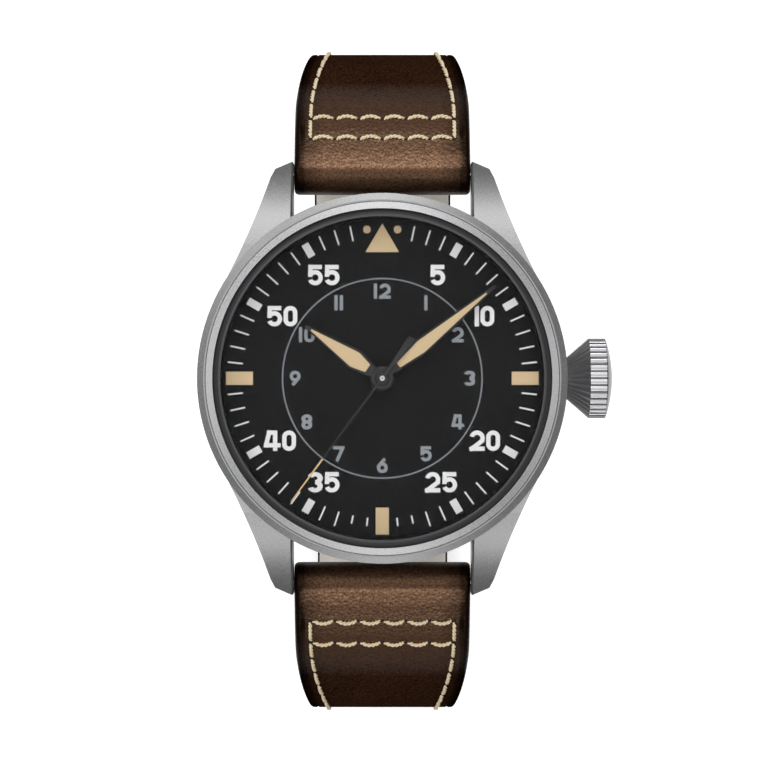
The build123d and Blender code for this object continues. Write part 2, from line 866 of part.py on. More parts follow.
def crown():
    """The large conical crown with its flutes, hollow over the tube."""
    neck = case_radius + crown_side_gap
    rim_radius = crown_radius - crown_rim_bevel
    rim_end = crown_rim_reach + crown_rim_bevel / 2
    dome_rise = crown_dome_reach - rim_end
    sphere = (rim_radius ** 2 + dome_rise ** 2) / (2 * dome_rise)
    dome_middle = (crown_dome_reach - sphere + sqrt(sphere ** 2 - (rim_radius / 2) ** 2),
                   rim_radius / 2)
    outside = crown_radius + overrun
    shoulder = fluted_outline(crown_shoulder_reach, crown_radius, crown_flute_depth)
    body = loft([fluted_outline(neck, crown_neck_radius, crown_neck_flute_depth), shoulder],
                ruled=True)
    body += extrude(shoulder, amount=crown_dome_reach + overrun - crown_shoulder_reach,
                    dir=(1, 0, 0))
    rounded = Pos(0, 0, stem_height) * revolve(make_face([
        Line((neck - overrun, 0), (neck - overrun, outside)),
        Line((neck - overrun, outside), (crown_rim_reach - overrun / 2, outside)),
        Line((crown_rim_reach - overrun / 2, outside), (rim_end, rim_radius)),
        ThreePointArc((rim_end, rim_radius), dome_middle, (crown_dome_reach, 0)),
        Line((crown_dome_reach, 0), (neck - overrun, 0)),
    ]), Axis.X, 360)
    body &= rounded
    recess = crown_tube_radius + crown_recess_gap
    body -= lying_cylinder(recess, neck - overrun, neck + crown_recess_depth, stem_height)
    return body - lying_cylinder(stem_radius, neck, stem_outer_reach, stem_height)


def winding_stem():
    """The stem, with the groove that the setting lever's pin stands in."""
    stem = lying_cylinder(stem_radius, stem_inner_reach, stem_outer_reach, stem_height)
    groove_end = stem_groove_start + stem_groove_length
    collar = lying_cylinder(stem_radius + overrun, stem_groove_start, groove_end, stem_height)
    core = lying_cylinder(stem_groove_radius, stem_groove_start - overrun, groove_end + overrun,
                          stem_height)
    return stem - (collar - core)


def toothed_sleeve(start, length, radius, teeth):
    """A small gear that lies on the stem."""
    cutters = []
    for tooth in range(teeth):
        turn = Pos(start - overrun, 0, stem_height) * Rot((tooth + 1 / 2) * 360 / teeth, 0, 0)
        cutters.append(turn * Pos(0, 0, radius) * Box(
            length + 2 * overrun, pi * radius / teeth, 2 * stem_tooth_depth,
            align=(Align.MIN, Align.CENTER, Align.CENTER)))
    body = lying_cylinder(radius, start, start + length, stem_height)
    bore = lying_cylinder(stem_radius + running_gap, start - overrun, start + length + overrun,
                          stem_height)
    return body - cutters - bore


def winding_pinion():
    """The pinion that drives the crown wheel."""
    return toothed_sleeve(winding_pinion_start, winding_pinion_length, winding_pinion_radius,
                          winding_pinion_teeth)


def sliding_pinion():
    """The pinion that slides on the stem between winding and setting."""
    start = winding_pinion_start - sliding_pinion_gap - sliding_pinion_length
    body = toothed_sleeve(start, sliding_pinion_length, sliding_pinion_radius,
                          winding_pinion_teeth)
    middle = start + sliding_pinion_length / 2
    half = sliding_pinion_groove_length / 2
    collar = lying_cylinder(sliding_pinion_radius + overrun, middle - half, middle + half,
                            stem_height)
    core = lying_cylinder(sliding_pinion_groove_radius, middle - half, middle + half, stem_height)
    return body - (collar - core)


def setting_lever():
    """The lever whose pin follows the stem's groove."""
    top = lever_bottom + lever_thickness
    arm = long_bar(lever_place, lever_pin_place, lever_width, lever_bottom, top)
    arm += disc(lever_boss_radius, lever_bottom, plate_bottom - end_shake, lever_place)
    return arm + disc(lever_pin_radius, lever_bottom, lever_pin_top, lever_pin_place)


def movement_ring():
    """The ring that holds the movement in the case and carries the dial."""
    body = ring(movement_ring_outer_radius, plate_radius + movement_plate_gap,
                movement_ring_bottom, dial_bottom)
    return body - lying_cylinder(movement_stem_hole_radius, 0, case_radius, stem_height)


def main_plate():
    """The main plate with its rim, pillars, bearings' seats and the slot for the stem."""
    body = disc(plate_radius, plate_bottom, plate_top)
    body += ring(plate_radius, plate_rim_radius, bridge_top, plate_bottom)
    for name in ("barrel_bridge", "train_bridge", "balance_cock"):
        for place in screw_places[name]:
            body += disc(pillar_radius, bridge_top, plate_bottom, place)
    body += disc(minute_stud_radius, plate_top, dial_bottom - motion_hub_gap, minute_wheel_place)
    slot_length = plate_radius - keyless_slot_start + overrun
    body -= Pos(keyless_slot_start, 0, keyless_slot_bottom) * Box(
        slot_length, 2 * keyless_slot_half_width, keyless_slot_top - keyless_slot_bottom,
        align=(Align.MIN, Align.CENTER, Align.MIN))
    low = plate_bottom - overrun
    high = plate_top + overrun
    for place in plate_jewel_places():
        body -= disc(jewel_radius, low, high, place)
    body -= disc(centre_bush_radius(), low, high)
    body -= disc(barrel_arbor_radius + running_gap, low, high, barrel_place)
    return body


def centre_bush_radius():
    """The seat of the wide jewel that the centre tube runs in."""
    return centre_tube_radius + jewel_radius


def plate_jewel_places():
    """The plate's small jewels."""
    return [third_place, escape_place, pallet_place, balance_place]


def bridge_outline_cut(shape, corner_low, corner_high):
    """What a rectangle in plan keeps of a bridge."""
    low_x, low_y = corner_low
    high_x, high_y = corner_high
    box = Pos(low_x, low_y, bridge_bottom - overrun) * Box(
        high_x - low_x, high_y - low_y, bridge_top - bridge_bottom + 2 * overrun,
        align=(Align.MIN, Align.MIN, Align.MIN))
    return shape & box


def bore_bridge(shape, jewels, screws):
    """Drills a bridge for its jewels and screws."""
    low = bridge_bottom - overrun
    high = bridge_top + overrun
    for place in jewels:
        shape -= disc(jewel_radius, low, high, place)
    for place in screws:
        shape -= disc(screw_shank_radius, low, high, place)
    return shape


def barrel_bridge():
    """The bridge over the barrel and the winding wheels."""
    shape = disc(plate_radius, bridge_bottom, bridge_top)
    shape = bridge_outline_cut(shape, (-plate_radius, bridge_split), (plate_radius, plate_radius))
    shape -= disc(barrel_arbor_radius + running_gap, bridge_bottom - overrun,
                  bridge_top + overrun, barrel_place)
    shape -= disc(crown_wheel_hub_radius + running_gap, bridge_bottom - overrun,
                  bridge_top + overrun, crown_wheel_place)
    return bore_bridge(shape, [], screw_places["barrel_bridge"])


def train_bridge():
    """The bridge over the train wheels."""
    shape = disc(plate_radius, bridge_bottom, bridge_top)
    shape = bridge_outline_cut(shape, (train_bridge_left, -plate_radius),
                               (plate_radius, bridge_split - bridge_split_gap))
    return bore_bridge(shape, [origin_place, third_place, escape_place],
                       screw_places["train_bridge"])


def balance_cock():
    """The arm that carries the balance, from its foot to the balance's jewel."""
    foot = (cock_foot_x, cock_foot_y)
    shape = long_bar(foot, balance_place, cock_width, bridge_bottom, bridge_top)
    shape += disc(cock_round_radius, bridge_bottom, bridge_top, balance_place)
    return bore_bridge(shape, [balance_place], screw_places["balance_cock"])


def pallet_feet():
    """The places of the pallet bridge's two feet."""
    across = polar(pallet_bridge_half_length, escapement_direction + 90)
    return [(pallet_place[0] + side * across[0], pallet_place[1] + side * across[1])
            for side in (1, -1)]


def pallet_bridge():
    """The small bridge over the pallet fork, on two feet."""
    start, end = pallet_feet()
    shape = long_bar(start, end, pallet_bridge_width, pallet_bridge_bottom, pallet_bridge_top)
    for foot in (start, end):
        shape += disc(pallet_foot_radius, pallet_bridge_bottom, plate_bottom, foot)
    return shape - disc(pivot_radius + running_gap, pallet_bridge_bottom - overrun,
                        pallet_bridge_top + overrun, pallet_place)


def automatic_bridge():
    """The bridge over the reversing wheel, which carries the rotor's bearing."""
    pads = [(automatic_pad_x, automatic_pad_y, automatic_arm_width),
            (automatic_lower_pad_x, automatic_lower_pad_y, automatic_lower_arm_width)]
    shape = disc(automatic_hub_radius, automatic_bottom, bridge_bottom)
    for x, y, width in pads:
        shape += long_bar(origin_place, (x, y), width, automatic_bottom, bridge_bottom)
    for x, y, width in pads:
        shape -= disc(screw_head_radius + running_gap, automatic_bottom - overrun,
                      bridge_bottom + overrun, (x, y))
    return shape - disc(reversing_pin_radius + running_gap, automatic_bottom - overrun,
                        automatic_bottom + reversing_pin_depth + end_shake, reversing_place)


def jewel(bottom, top, place, radius=jewel_radius, bore=pivot_radius):
    """One pierced jewel."""
    return ring(radius, bore + running_gap, bottom, top, place)


def jewels():
    """Every jewel of the bridges and the plate."""
    back = [origin_place, third_place, escape_place, balance_place]
    shapes = [jewel(bridge_bottom, bridge_top, place) for place in back]
    shapes += [jewel(plate_bottom, plate_top, place) for place in plate_jewel_places()]
    shapes.append(jewel(plate_bottom, plate_top, origin_place, centre_bush_radius(),
                        centre_tube_radius))
    return group(shapes)


def screw(place, head_bottom, shank_top):
    """One slotted screw, its head towards the case back."""
    head_top = head_bottom + screw_head_height
    shape = disc(screw_head_radius, head_bottom, head_top, place)
    shape += disc(screw_shank_radius - seat_gap, head_top, shank_top, place)
    slot = Pos(*place, head_bottom) * Box(2 * screw_head_radius + overrun, screw_slot_width,
                                          2 * screw_slot_depth)
    return shape - slot


def bridge_screws():
    """The screws of the bridges and of the automatic bridge."""
    shapes = []
    for places in screw_places.values():
        for place in places:
            shapes.append(screw(place, bridge_bottom - screw_head_height, bridge_top))
    for place in [(automatic_pad_x, automatic_pad_y),
                  (automatic_lower_pad_x, automatic_lower_pad_y)]:
        shapes.append(screw(place, automatic_bottom, bridge_bottom))
    return group(shapes)


def rotor():
    """The winding weight: a half disc with a heavy rim and a pinion round its bearing."""
    bore = bearing_radius + running_gap
    sheet = ring(rotor_radius, bore, rotor_plate_bottom, rotor_plate_top)
    rim = ring(rotor_radius, rotor_rim_inner_radius, rotor_rim_bottom, rotor_rim_top)
    half = Pos(0, -rotor_radius - overrun, rotor_rim_bottom - overrun) * Box(
        2 * (rotor_radius + overrun), rotor_radius + overrun,
        rotor_rim_top - rotor_rim_bottom + 2 * overrun, align=(Align.CENTER, Align.MIN, Align.MIN))
    body = (sheet + rim) & half
    for side in (-1, 1):
        body -= rotor_window(side)
    body += ring(rotor_hub_radius, bore, rotor_plate_bottom, rotor_plate_top)
    body += gear(rotor_pinion_teeth, rotor_pinion_module, reversing_wheel_angle,
                 rotor_plate_top, reversing_wheel_top)
    return body - disc(bore, rotor_rim_bottom - overrun, rotor_rim_top + overrun)


def rotor_window(side):
    """One of the two openings in the rotor's plate."""
    opening = ring(rotor_window_radius, rotor_window_inner_radius, rotor_plate_bottom - overrun,
                   rotor_plate_top + overrun)
    wedge_reach = rotor_radius + overrun
    start = -90 + side * rotor_step_angle
    end = start + side * rotor_window_angle
    wedge = prism([(0, 0), polar(wedge_reach, start), polar(wedge_reach, (start + end) / 2),
                   polar(wedge_reach, end)], rotor_plate_bottom - overrun,
                  rotor_plate_top + overrun)
    return opening & wedge


def rotor_bearing():
    """The headed stud that the rotor turns on."""
    stud = disc(bearing_radius, bearing_head_top - seat_gap, automatic_bottom)
    head = disc(bearing_head_radius, bearing_head_bottom, bearing_head_top)
    slot = Pos(0, 0, bearing_head_bottom) * Box(2 * bearing_head_radius + overrun,
                                                screw_slot_width, 2 * screw_slot_depth)
    return head + stud - slot


def reversing_wheel():
    """The wheel that takes the rotor's turning to the winding train."""
    wheel = gear(reversing_wheel_teeth, rotor_pinion_module,
                 mate_phase(reversing_wheel_angle, reversing_wheel_teeth),
                 reversing_wheel_bottom, reversing_wheel_top, reversing_place)
    return wheel + disc(reversing_pin_radius, reversing_wheel_top,
                        automatic_bottom + reversing_pin_depth, reversing_place)


def barrel():
    """The toothed drum and its lid."""
    inner = barrel_drum_radius - barrel_wall
    body = disc(barrel_drum_radius, barrel_bottom, barrel_top, barrel_place)
    body += gear(barrel_teeth, barrel_module, barrel_angle + 180,
                 barrel_top - barrel_teeth_height, barrel_top, barrel_place)
    body -= disc(inner, barrel_bottom + barrel_lid_thickness, barrel_top - barrel_wall,
                 barrel_place)
    return body - disc(barrel_arbor_radius + running_gap, barrel_bottom - overrun,
                       barrel_top + overrun, barrel_place)


def spiral(centre, inner_radius, thickness, turns, pitch, bottom, height):
    """A flat spring wound in half circles about two centres in turn."""
    inner_edges = []
    outer_edges = []
    half_step = pitch / 2
    for half_turn in range(2 * turns):
        side = half_turn % 2
        middle = (centre[0] + side * half_step, centre[1], bottom)
        radius = inner_radius + half_turn * half_step
        for edges, reach in ((inner_edges, radius), (outer_edges, radius + thickness)):
            edges.append(CenterArc(middle, reach, 180 * side, 180))
    ends = [Line(inner_edges[0] @ 0, outer_edges[0] @ 0),
            Line(inner_edges[-1] @ 1, outer_edges[-1] @ 1)]
    return extrude(make_face(inner_edges + outer_edges + ends), amount=height, dir=(0, 0, 1))


def mainspring():
    """The spring wound in the barrel."""
    bottom = barrel_bottom + barrel_lid_thickness + end_shake
    height = barrel_top - barrel_wall - end_shake - bottom
    return spiral(barrel_place, mainspring_inner_radius, mainspring_thickness, mainspring_turns,
                  mainspring_pitch, bottom, height)


def barrel_arbor():
    """The arbor that the mainspring winds on."""
    shaft = disc(barrel_arbor_radius, wheel_bottom, plate_top - end_shake, barrel_place)
    core_bottom = barrel_bottom + barrel_lid_thickness + end_shake
    core_top = barrel_top - barrel_wall - end_shake
    return shaft + disc(barrel_core_radius, core_bottom, core_top, barrel_place)


def ratchet_wheel():
    """The wheel that winds the barrel's arbor."""
    wheel = gear(ratchet_teeth, crown_ratchet_module, crown_ratchet_angle, wheel_bottom,
                 wheel_top, barrel_place)
    return wheel - disc(barrel_arbor_radius + seat_gap, wheel_bottom - overrun,
                        wheel_top + overrun, barrel_place)


def crown_wheel():
    """The wheel between the winding pinion and the ratchet wheel, on two levels."""
    wheel = gear(crown_wheel_teeth, crown_ratchet_module,
                 mate_phase(crown_ratchet_angle, crown_wheel_teeth), wheel_bottom, wheel_top,
                 crown_wheel_place)
    wheel += disc(crown_wheel_hub_radius, wheel_top, crown_wheel_lower_bottom, crown_wheel_place)
    lower_module = 2 * crown_wheel_lower_radius / (crown_wheel_lower_teeth + 2)
    return wheel + gear(crown_wheel_lower_teeth, lower_module, 0, crown_wheel_lower_bottom,
                        crown_wheel_lower_top, crown_wheel_place)


def click():
    """The pawl beside the ratchet wheel."""
    place = (click_x, click_y)
    toward = (barrel_place[0] - click_x, barrel_place[1] - click_y)
    distance = hypot(*toward)
    tip_radius = crown_ratchet_module * (ratchet_teeth / 2 + 1) + click_stand_off
    reach = distance - tip_radius - click_width / 2
    tip = (click_x + toward[0] * reach / distance, click_y + toward[1] * reach / distance)
    arm = long_bar(place, tip, click_width, wheel_bottom, wheel_top)
    arm += disc(click_boss_radius, wheel_bottom, bridge_bottom - end_shake, place)
    return arm


def centre_wheel():
    """The wheel that turns once an hour, on a hollow tube that reaches through the dial."""
    low = centre_wheel_bottom
    wheel = spoked_wheel(centre_wheel_teeth, centre_third_module, third_wheel_angle, low,
                         origin_place)
    pinion_top = barrel_top + end_shake
    wheel += gear(centre_pinion_teeth, barrel_module, mate_phase(barrel_angle + 180,
                  centre_pinion_teeth), pinion_top - centre_pinion_height, pinion_top)
    wheel += disc(centre_tube_radius, low, centre_tube_top)
    return wheel - disc(centre_tube_bore_radius, low - overrun, centre_tube_top + overrun)


def third_wheel():
    """The third wheel with its pinion."""
    shape = spoked_wheel(third_wheel_teeth, third_fourth_module, third_wheel_angle + 180,
                         third_wheel_bottom, third_place)
    pinion_bottom = third_wheel_bottom + train_wheel_thickness
    pinion_top = centre_wheel_bottom + train_wheel_thickness + end_shake
    shape += gear(third_pinion_teeth, centre_third_module,
                  mate_phase(third_wheel_angle, third_pinion_teeth), pinion_bottom, pinion_top,
                  third_place)
    return shape + arbor(third_place)


def fourth_wheel():
    """The fourth wheel, whose long arbor carries the seconds hand."""
    shape = spoked_wheel(fourth_wheel_teeth, fourth_escape_module, escape_angle,
                         fourth_wheel_bottom, origin_place)
    pinion_bottom = fourth_wheel_bottom + train_wheel_thickness
    pinion_top = third_wheel_bottom + train_wheel_thickness + end_shake
    shape += gear(fourth_pinion_teeth, third_fourth_module,
                  mate_phase(third_wheel_angle + 180, fourth_pinion_teeth), pinion_bottom,
                  pinion_top)
    low = bridge_top + end_shake
    shape += disc(seconds_arbor_radius, low, seconds_hand_bottom + hand_thickness)
    return shape + disc(pivot_radius, low - pivot_length, low)


def escape_wheel():
    """The escape wheel with slanted teeth, its pinion and arbor."""
    top = escape_wheel_bottom + escape_wheel_thickness
    root = escape_wheel_radius - escape_tooth_length
    points = []
    corner_radii = (root, escape_wheel_radius, escape_wheel_radius, root)
    for tooth in range(escape_tooth_count):
        for radius, turn_share in zip(corner_radii, escape_tooth_turn_shares):
            x, y = polar(radius, (tooth + turn_share) * 360 / escape_tooth_count)
            points.append((escape_place[0] + x, escape_place[1] + y))
    wheel = prism(points, escape_wheel_bottom, top)
    wheel -= ring(root - escape_rim_width, train_hub_radius, escape_wheel_bottom - overrun,
                  top + overrun, escape_place)
    for spoke in range(train_spoke_count):
        far = polar(root - escape_rim_width / 2, spoke * 360 / train_spoke_count)
        end = (escape_place[0] + far[0], escape_place[1] + far[1])
        wheel += long_bar(escape_place, end, escape_rim_width, escape_wheel_bottom, top)
    pinion_top = fourth_wheel_bottom + train_wheel_thickness + end_shake
    wheel += gear(escape_pinion_teeth, fourth_escape_module,
                  mate_phase(escape_angle, escape_pinion_teeth), bridge_top + end_shake,
                  pinion_top, escape_place, escape_pinion_height_share)
    return wheel + arbor(escape_place)


def pallet_fork():
    """The fork with two pallet stones, drawn along +X and then turned to its place."""
    bottom = escape_wheel_bottom
    top = escape_wheel_bottom + escape_wheel_thickness
    tip = (pallet_fork_length, 0)
    shape = long_bar(origin_place, tip, pallet_fork_width, bottom, top)
    notch_place = pallet_fork_length + pallet_fork_width / 2 - pallet_notch_depth
    shape -= Pos(notch_place, 0, bottom) * Box(
        pallet_notch_depth + overrun, pallet_notch_width, 2 * overrun,
        align=(Align.MIN, Align.CENTER, Align.CENTER))
    for side in (1, -1):
        # The escape wheel's centre lies on -X in this drawing.
        near = polar(pallet_stone_radius + pallet_stone_width / 2, side * pallet_stone_angle)
        far = polar(pallet_stone_radius + pallet_stone_length, side * pallet_stone_angle)
        stone_start = (near[0] - pallet_distance, near[1])
        stone_end = (far[0] - pallet_distance, far[1])
        shape += long_bar(origin_place, stone_end, pallet_arm_width, bottom, top)
        shape += long_bar(stone_start, stone_end, pallet_stone_width, bottom, top)
    shape -= disc(pallet_stone_radius, bottom - overrun, top + overrun, (-pallet_distance, 0))
    shape += disc(arbor_radius, pallet_bridge_top + end_shake, plate_bottom - end_shake)
    shape += disc(pivot_radius, pallet_bridge_bottom, plate_bottom + pivot_length)
    return Pos(*pallet_place, 0) * Rot(0, 0, escapement_direction) * shape


def balance_wheel():
    """The balance: a rim with timing screws, an arm, the staff, the roller and its pin."""
    shape = ring(balance_radius, balance_radius - balance_rim_width, balance_bottom, balance_top)
    inner = balance_radius - balance_rim_width / 2
    shape += long_bar((-inner, 0), (inner, 0), balance_arm_width, balance_bottom, balance_top)
    middle = (balance_bottom + balance_top) / 2
    for number in range(balance_screw_count):
        angle = (number + 1 / 2) * 360 / balance_screw_count
        stud = Pos(0, 0, middle) * Rot(0, 0, angle) * Rot(0, 90, 0) * Pos(
            0, 0, balance_radius - balance_rim_width - balance_screw_length) * Cylinder(
            balance_screw_radius, balance_screw_length + balance_rim_width / 2,
            align=(Align.CENTER, Align.CENTER, Align.MIN))
        shape += stud
    low = bridge_top + end_shake
    high = plate_bottom - end_shake
    shape += disc(balance_staff_radius, low, high)
    shape += disc(pivot_radius, low - pivot_length, high + pivot_length)
    shape += disc(roller_radius, roller_bottom, roller_top)
    shape += disc(impulse_pin_radius, roller_bottom, impulse_pin_top, (-impulse_pin_reach, 0))
    return Pos(*balance_place, 0) * Rot(0, 0, escapement_direction) * shape


def hairspring():
    """The flat spiral spring above the balance."""
    return spiral(balance_place, hairspring_inner_radius, hairspring_thickness,
                  hairspring_turns, hairspring_pitch, hairspring_bottom, hairspring_height)


def cannon_pinion():
    """The pinion that carries the minute hand, a friction fit on the centre tube."""
    top = minute_hand_bottom + hand_thickness
    shape = disc(cannon_tube_radius, cannon_bottom, top)
    shape += gear(cannon_teeth, motion_module, minute_wheel_angle, cannon_bottom,
                  minute_wheel_bottom + minute_wheel_thickness)
    return shape - disc(centre_tube_radius + running_gap, cannon_bottom - overrun, top + overrun)


def minute_wheel():
    """The wheel and pinion between the cannon pinion and the hour wheel."""
    top = minute_wheel_bottom + minute_wheel_thickness
    pinion_top = hour_wheel_bottom + hour_wheel_thickness + end_shake
    shape = gear(minute_wheel_teeth, motion_module,
                 mate_phase(minute_wheel_angle, minute_wheel_teeth), minute_wheel_bottom, top,
                 minute_wheel_place)
    shape += gear(minute_pinion_teeth, motion_second_module, minute_wheel_angle + 180, top,
                  pinion_top, minute_wheel_place, minute_pinion_height_share)
    return shape - disc(minute_stud_radius + running_gap, minute_wheel_bottom - overrun,
                        pinion_top + overrun, minute_wheel_place)


def hour_wheel():
    """The wheel that carries the hour hand."""
    top = hour_hand_bottom + hand_thickness
    shape = gear(hour_wheel_teeth, motion_second_module,
                 mate_phase(minute_wheel_angle + 180, hour_wheel_teeth), hour_wheel_bottom,
                 hour_wheel_bottom + hour_wheel_thickness)
    shape += disc(hour_tube_radius, hour_wheel_bottom, top)
    return shape - disc(cannon_tube_radius + running_gap, hour_wheel_bottom - overrun,
                        top + overrun)


def dial():
    """The black dial plate."""
    return ring(case_bore_radius - dial_edge_gap, dial_hole_radius, dial_bottom, dial_top)


def clock_place(radius, minute):
    """A place on the dial at a radius and a minute mark."""
    return polar(radius, 90 - minute * 360 / tick_count)


def radial_block(inner, outer, width, minute, thickness):
    """A flat bar on the dial that points at the middle."""
    x, y = clock_place((inner + outer) / 2, minute)
    turn = 90 - minute * 360 / tick_count
    return Pos(x, y, dial_top) * Rot(0, 0, turn) * Box(
        outer - inner, width, thickness, align=(Align.CENTER, Align.CENTER, Align.MIN))


def straight_stroke(start, end, width):
    """A straight stroke of a digit, its square ends half a width past its two places."""
    length = hypot(end[0] - start[0], end[1] - start[1]) + width
    angle = degrees(atan2(end[1] - start[1], end[0] - start[0]))
    middle = ((start[0] + end[0]) / 2, (start[1] + end[1]) / 2)
    return Pos(*middle) * Rot(0, 0, angle) * Rectangle(length, width)


def bowl_stroke(centre, radius, start_angle, sweep, width):
    """A round stroke of a digit with square ends."""
    inner = radius - width / 2
    outer = radius + width / 2
    inner_arc = CenterArc(centre, inner, start_angle, sweep)
    outer_arc = CenterArc(centre, outer, start_angle, sweep)
    return make_face([inner_arc, outer_arc, Line(inner_arc @ 0, outer_arc @ 0),
                      Line(inner_arc @ 1, outer_arc @ 1)])


def digit(character, height, width, stroke):
    """One digit in a box of the given size about the origin; a nine is a turned six."""
    side = (width - stroke) / 2
    top = (height - stroke) / 2
    drawn = "6" if character == "9" else character

    def place(shares):
        across_share, up_share, bowl_share = shares
        return across_share * side, up_share * top + bowl_share * side

    faces = [straight_stroke(place(start), place(end), stroke)
             for start, end in digit_line_shares.get(drawn, ())]
    for centre, side_share, top_share, start, sweep in digit_bowl_shares.get(drawn, ()):
        radius = side_share * side + top_share * top
        faces.append(bowl_stroke(place(centre), radius, start, sweep, stroke))
    shape = faces[0]
    for face in faces[1:]:
        shape += face
    if drawn in stretched_digits:
        shape = scale(shape, by=(width / (top + stroke), 1, 1))
    return Rot(0, 0, 180 if character == "9" else 0) * shape


def number(text, place, height, width, stroke, spacing):
    """A printed number, upright and centred on its place."""
    solids = []
    widths = [width * digit_width_shares.get(character, 1) for character in text]
    left = place[0] - (sum(widths) + spacing * (len(text) - 1)) / 2
    for character, own_width in zip(text, widths):
        face = digit(character, height, own_width, stroke)
        solids.append(extrude(Pos(left + own_width / 2, place[1], dial_top) * face,
                              amount=print_thickness, dir=(0, 0, 1)))
        left += own_width + spacing
    return solids


def minute_scale():
    """The white track: minute ticks, hour blocks and the numerals of every fifth minute."""
    shapes = []
    lume_minutes = (0, 15, 30, 45)
    dotted = (1, tick_count - 1)
    for minute in range(tick_count):
        if minute in lume_minutes or minute in dotted:
            continue
        if minute % 5 == 0:
            shapes.append(radial_block(block_outer_radius - block_length, block_outer_radius,
                                       block_width, minute, block_thickness))
        else:
            end = tick_outer_radius
            if minute in short_tick_minutes:
                end = tick_inner_radius + short_tick_length
            shapes.append(radial_block(tick_inner_radius, end, tick_width, minute,
                                       print_thickness))
    for text, across, up in numeral_places:
        shapes += number(text, (across, up), numeral_height, numeral_width, numeral_stroke,
                         numeral_spacing)
    return group(shapes)


def hour_scale():
    """The grey inner scale: a fine ring and the twelve hour numerals."""
    shapes = [ring(hour_ring_radius + hour_ring_width / 2, hour_ring_radius - hour_ring_width / 2,
                   dial_top, dial_top + print_thickness)]
    for hour in range(1, 13):
        shapes += number(str(hour), clock_place(hour_numeral_radius, hour * 5),
                         hour_numeral_height, hour_numeral_width, hour_numeral_stroke,
                         hour_numeral_spacing)
    return group(shapes)


def lume_markers():
    """The luminous batons at three, six and nine, the triangle and its two dots."""
    shapes = [radial_block(baton_inner_radius, baton_outer_radius, baton_width, minute,
                           lume_thickness) for minute in (15, 30, 45)]
    half = triangle_base_width / 2
    shapes.append(prism([(0, triangle_apex_radius), (-half, triangle_base_radius),
                         (half, triangle_base_radius)], dial_top, dial_top + lume_thickness))
    for side in (-1, 1):
        shapes.append(disc(lume_dot_radius, dial_top, dial_top + lume_thickness,
                           (side * lume_dot_offset, lume_dot_reach)))
    return group(shapes)


def blade(half_outline, bottom, thickness):
    """A symmetric hand drawn along +Y from (reach, half width) pairs."""
    left = [(-half_width, reach) for reach, half_width in half_outline]
    right = [(half_width, reach) for reach, half_width in reversed(half_outline)]
    return prism(left + right, bottom, bottom + thickness)


def to_clock(shape, angle):
    """Turns a hand from twelve o'clock to its place, clockwise."""
    return Rot(0, 0, -angle) * shape


def hour_blades():
    """The outline of the hour hand and of its inlay."""
    frame = [(0, hour_hand_neck_half_width),
             (hour_hand_inner_reach - hour_hand_neck_half_width, hour_hand_neck_half_width),
             (hour_hand_inner_reach, hour_hand_inner_half_width),
             (hour_hand_wide_reach, hour_hand_wide_half_width),
             (hour_hand_reach, hour_hand_tip_half_width)]
    inlay = [(hour_lume_inner_reach, hour_lume_inner_half_width),
             (hour_hand_wide_reach, hour_lume_wide_half_width),
             (hour_lume_reach, hour_lume_tip_half_width)]
    return frame, inlay


def minute_blades():
    """The outline of the minute hand and of its inlay."""
    frame = [(0, minute_hand_neck_half_width),
             (minute_hand_inner_reach - minute_hand_neck_half_width,
              minute_hand_neck_half_width),
             (minute_hand_inner_reach, minute_hand_inner_half_width),
             (minute_hand_wide_reach, minute_hand_wide_half_width),
             (minute_hand_reach, minute_hand_tip_half_width)]
    inlay = [(minute_lume_inner_reach, minute_lume_inner_half_width),
             (minute_hand_wide_reach, minute_lume_wide_half_width),
             (minute_lume_reach, minute_lume_tip_half_width)]
    return frame, inlay


def framed_hand(outlines, bottom, hub_radius, bore, angle):
    """A hand with a window for its inlay, on a round hub."""
    frame, inlay = outlines
    shape = blade(frame, bottom, hand_thickness)
    shape += disc(hub_radius, bottom, bottom + hand_thickness)
    shape -= blade(inlay, bottom - overrun, hand_thickness + 2 * overrun)
    shape -= disc(bore, bottom - overrun, bottom + hand_thickness + overrun)
    return to_clock(shape, angle)


def hour_hand():
    """The broad hour hand."""
    return framed_hand(hour_blades(), hour_hand_bottom, hour_hand_hub_radius, hour_tube_radius,
                       hour_hand_angle)


def hour_hand_lume():
    """The hour hand's luminous inlay."""
    return to_clock(blade(hour_blades()[1], hour_hand_bottom, hand_thickness + hand_lume_rise),
                    hour_hand_angle)


def minute_hand():
    """The long minute hand."""
    return framed_hand(minute_blades(), minute_hand_bottom, minute_hand_hub_radius,
                       cannon_tube_radius, minute_hand_angle)


def minute_hand_lume():
    """The minute hand's luminous inlay."""
    return to_clock(blade(minute_blades()[1], minute_hand_bottom,
                          hand_thickness + hand_lume_rise), minute_hand_angle)


def seconds_hand():
    """The seconds hand: a needle, a tail that widens, a disc and a cap."""
    needle = [(-seconds_hand_tail_reach, seconds_hand_tail_width / 2),
              (0, seconds_hand_hub_width / 2),
              (seconds_hand_reach, seconds_hand_tip_width / 2)]
    top = seconds_hand_bottom + hand_thickness
    shape = blade(needle, seconds_hand_bottom, hand_thickness)
    shape += disc(seconds_hand_hub_radius, seconds_hand_bottom, top)
    shape -= disc(seconds_arbor_radius, seconds_hand_bottom - overrun, top + overrun)
    shape += disc(seconds_cap_radius, top, top + seconds_cap_rise)
    return to_clock(shape, seconds_hand_angle)


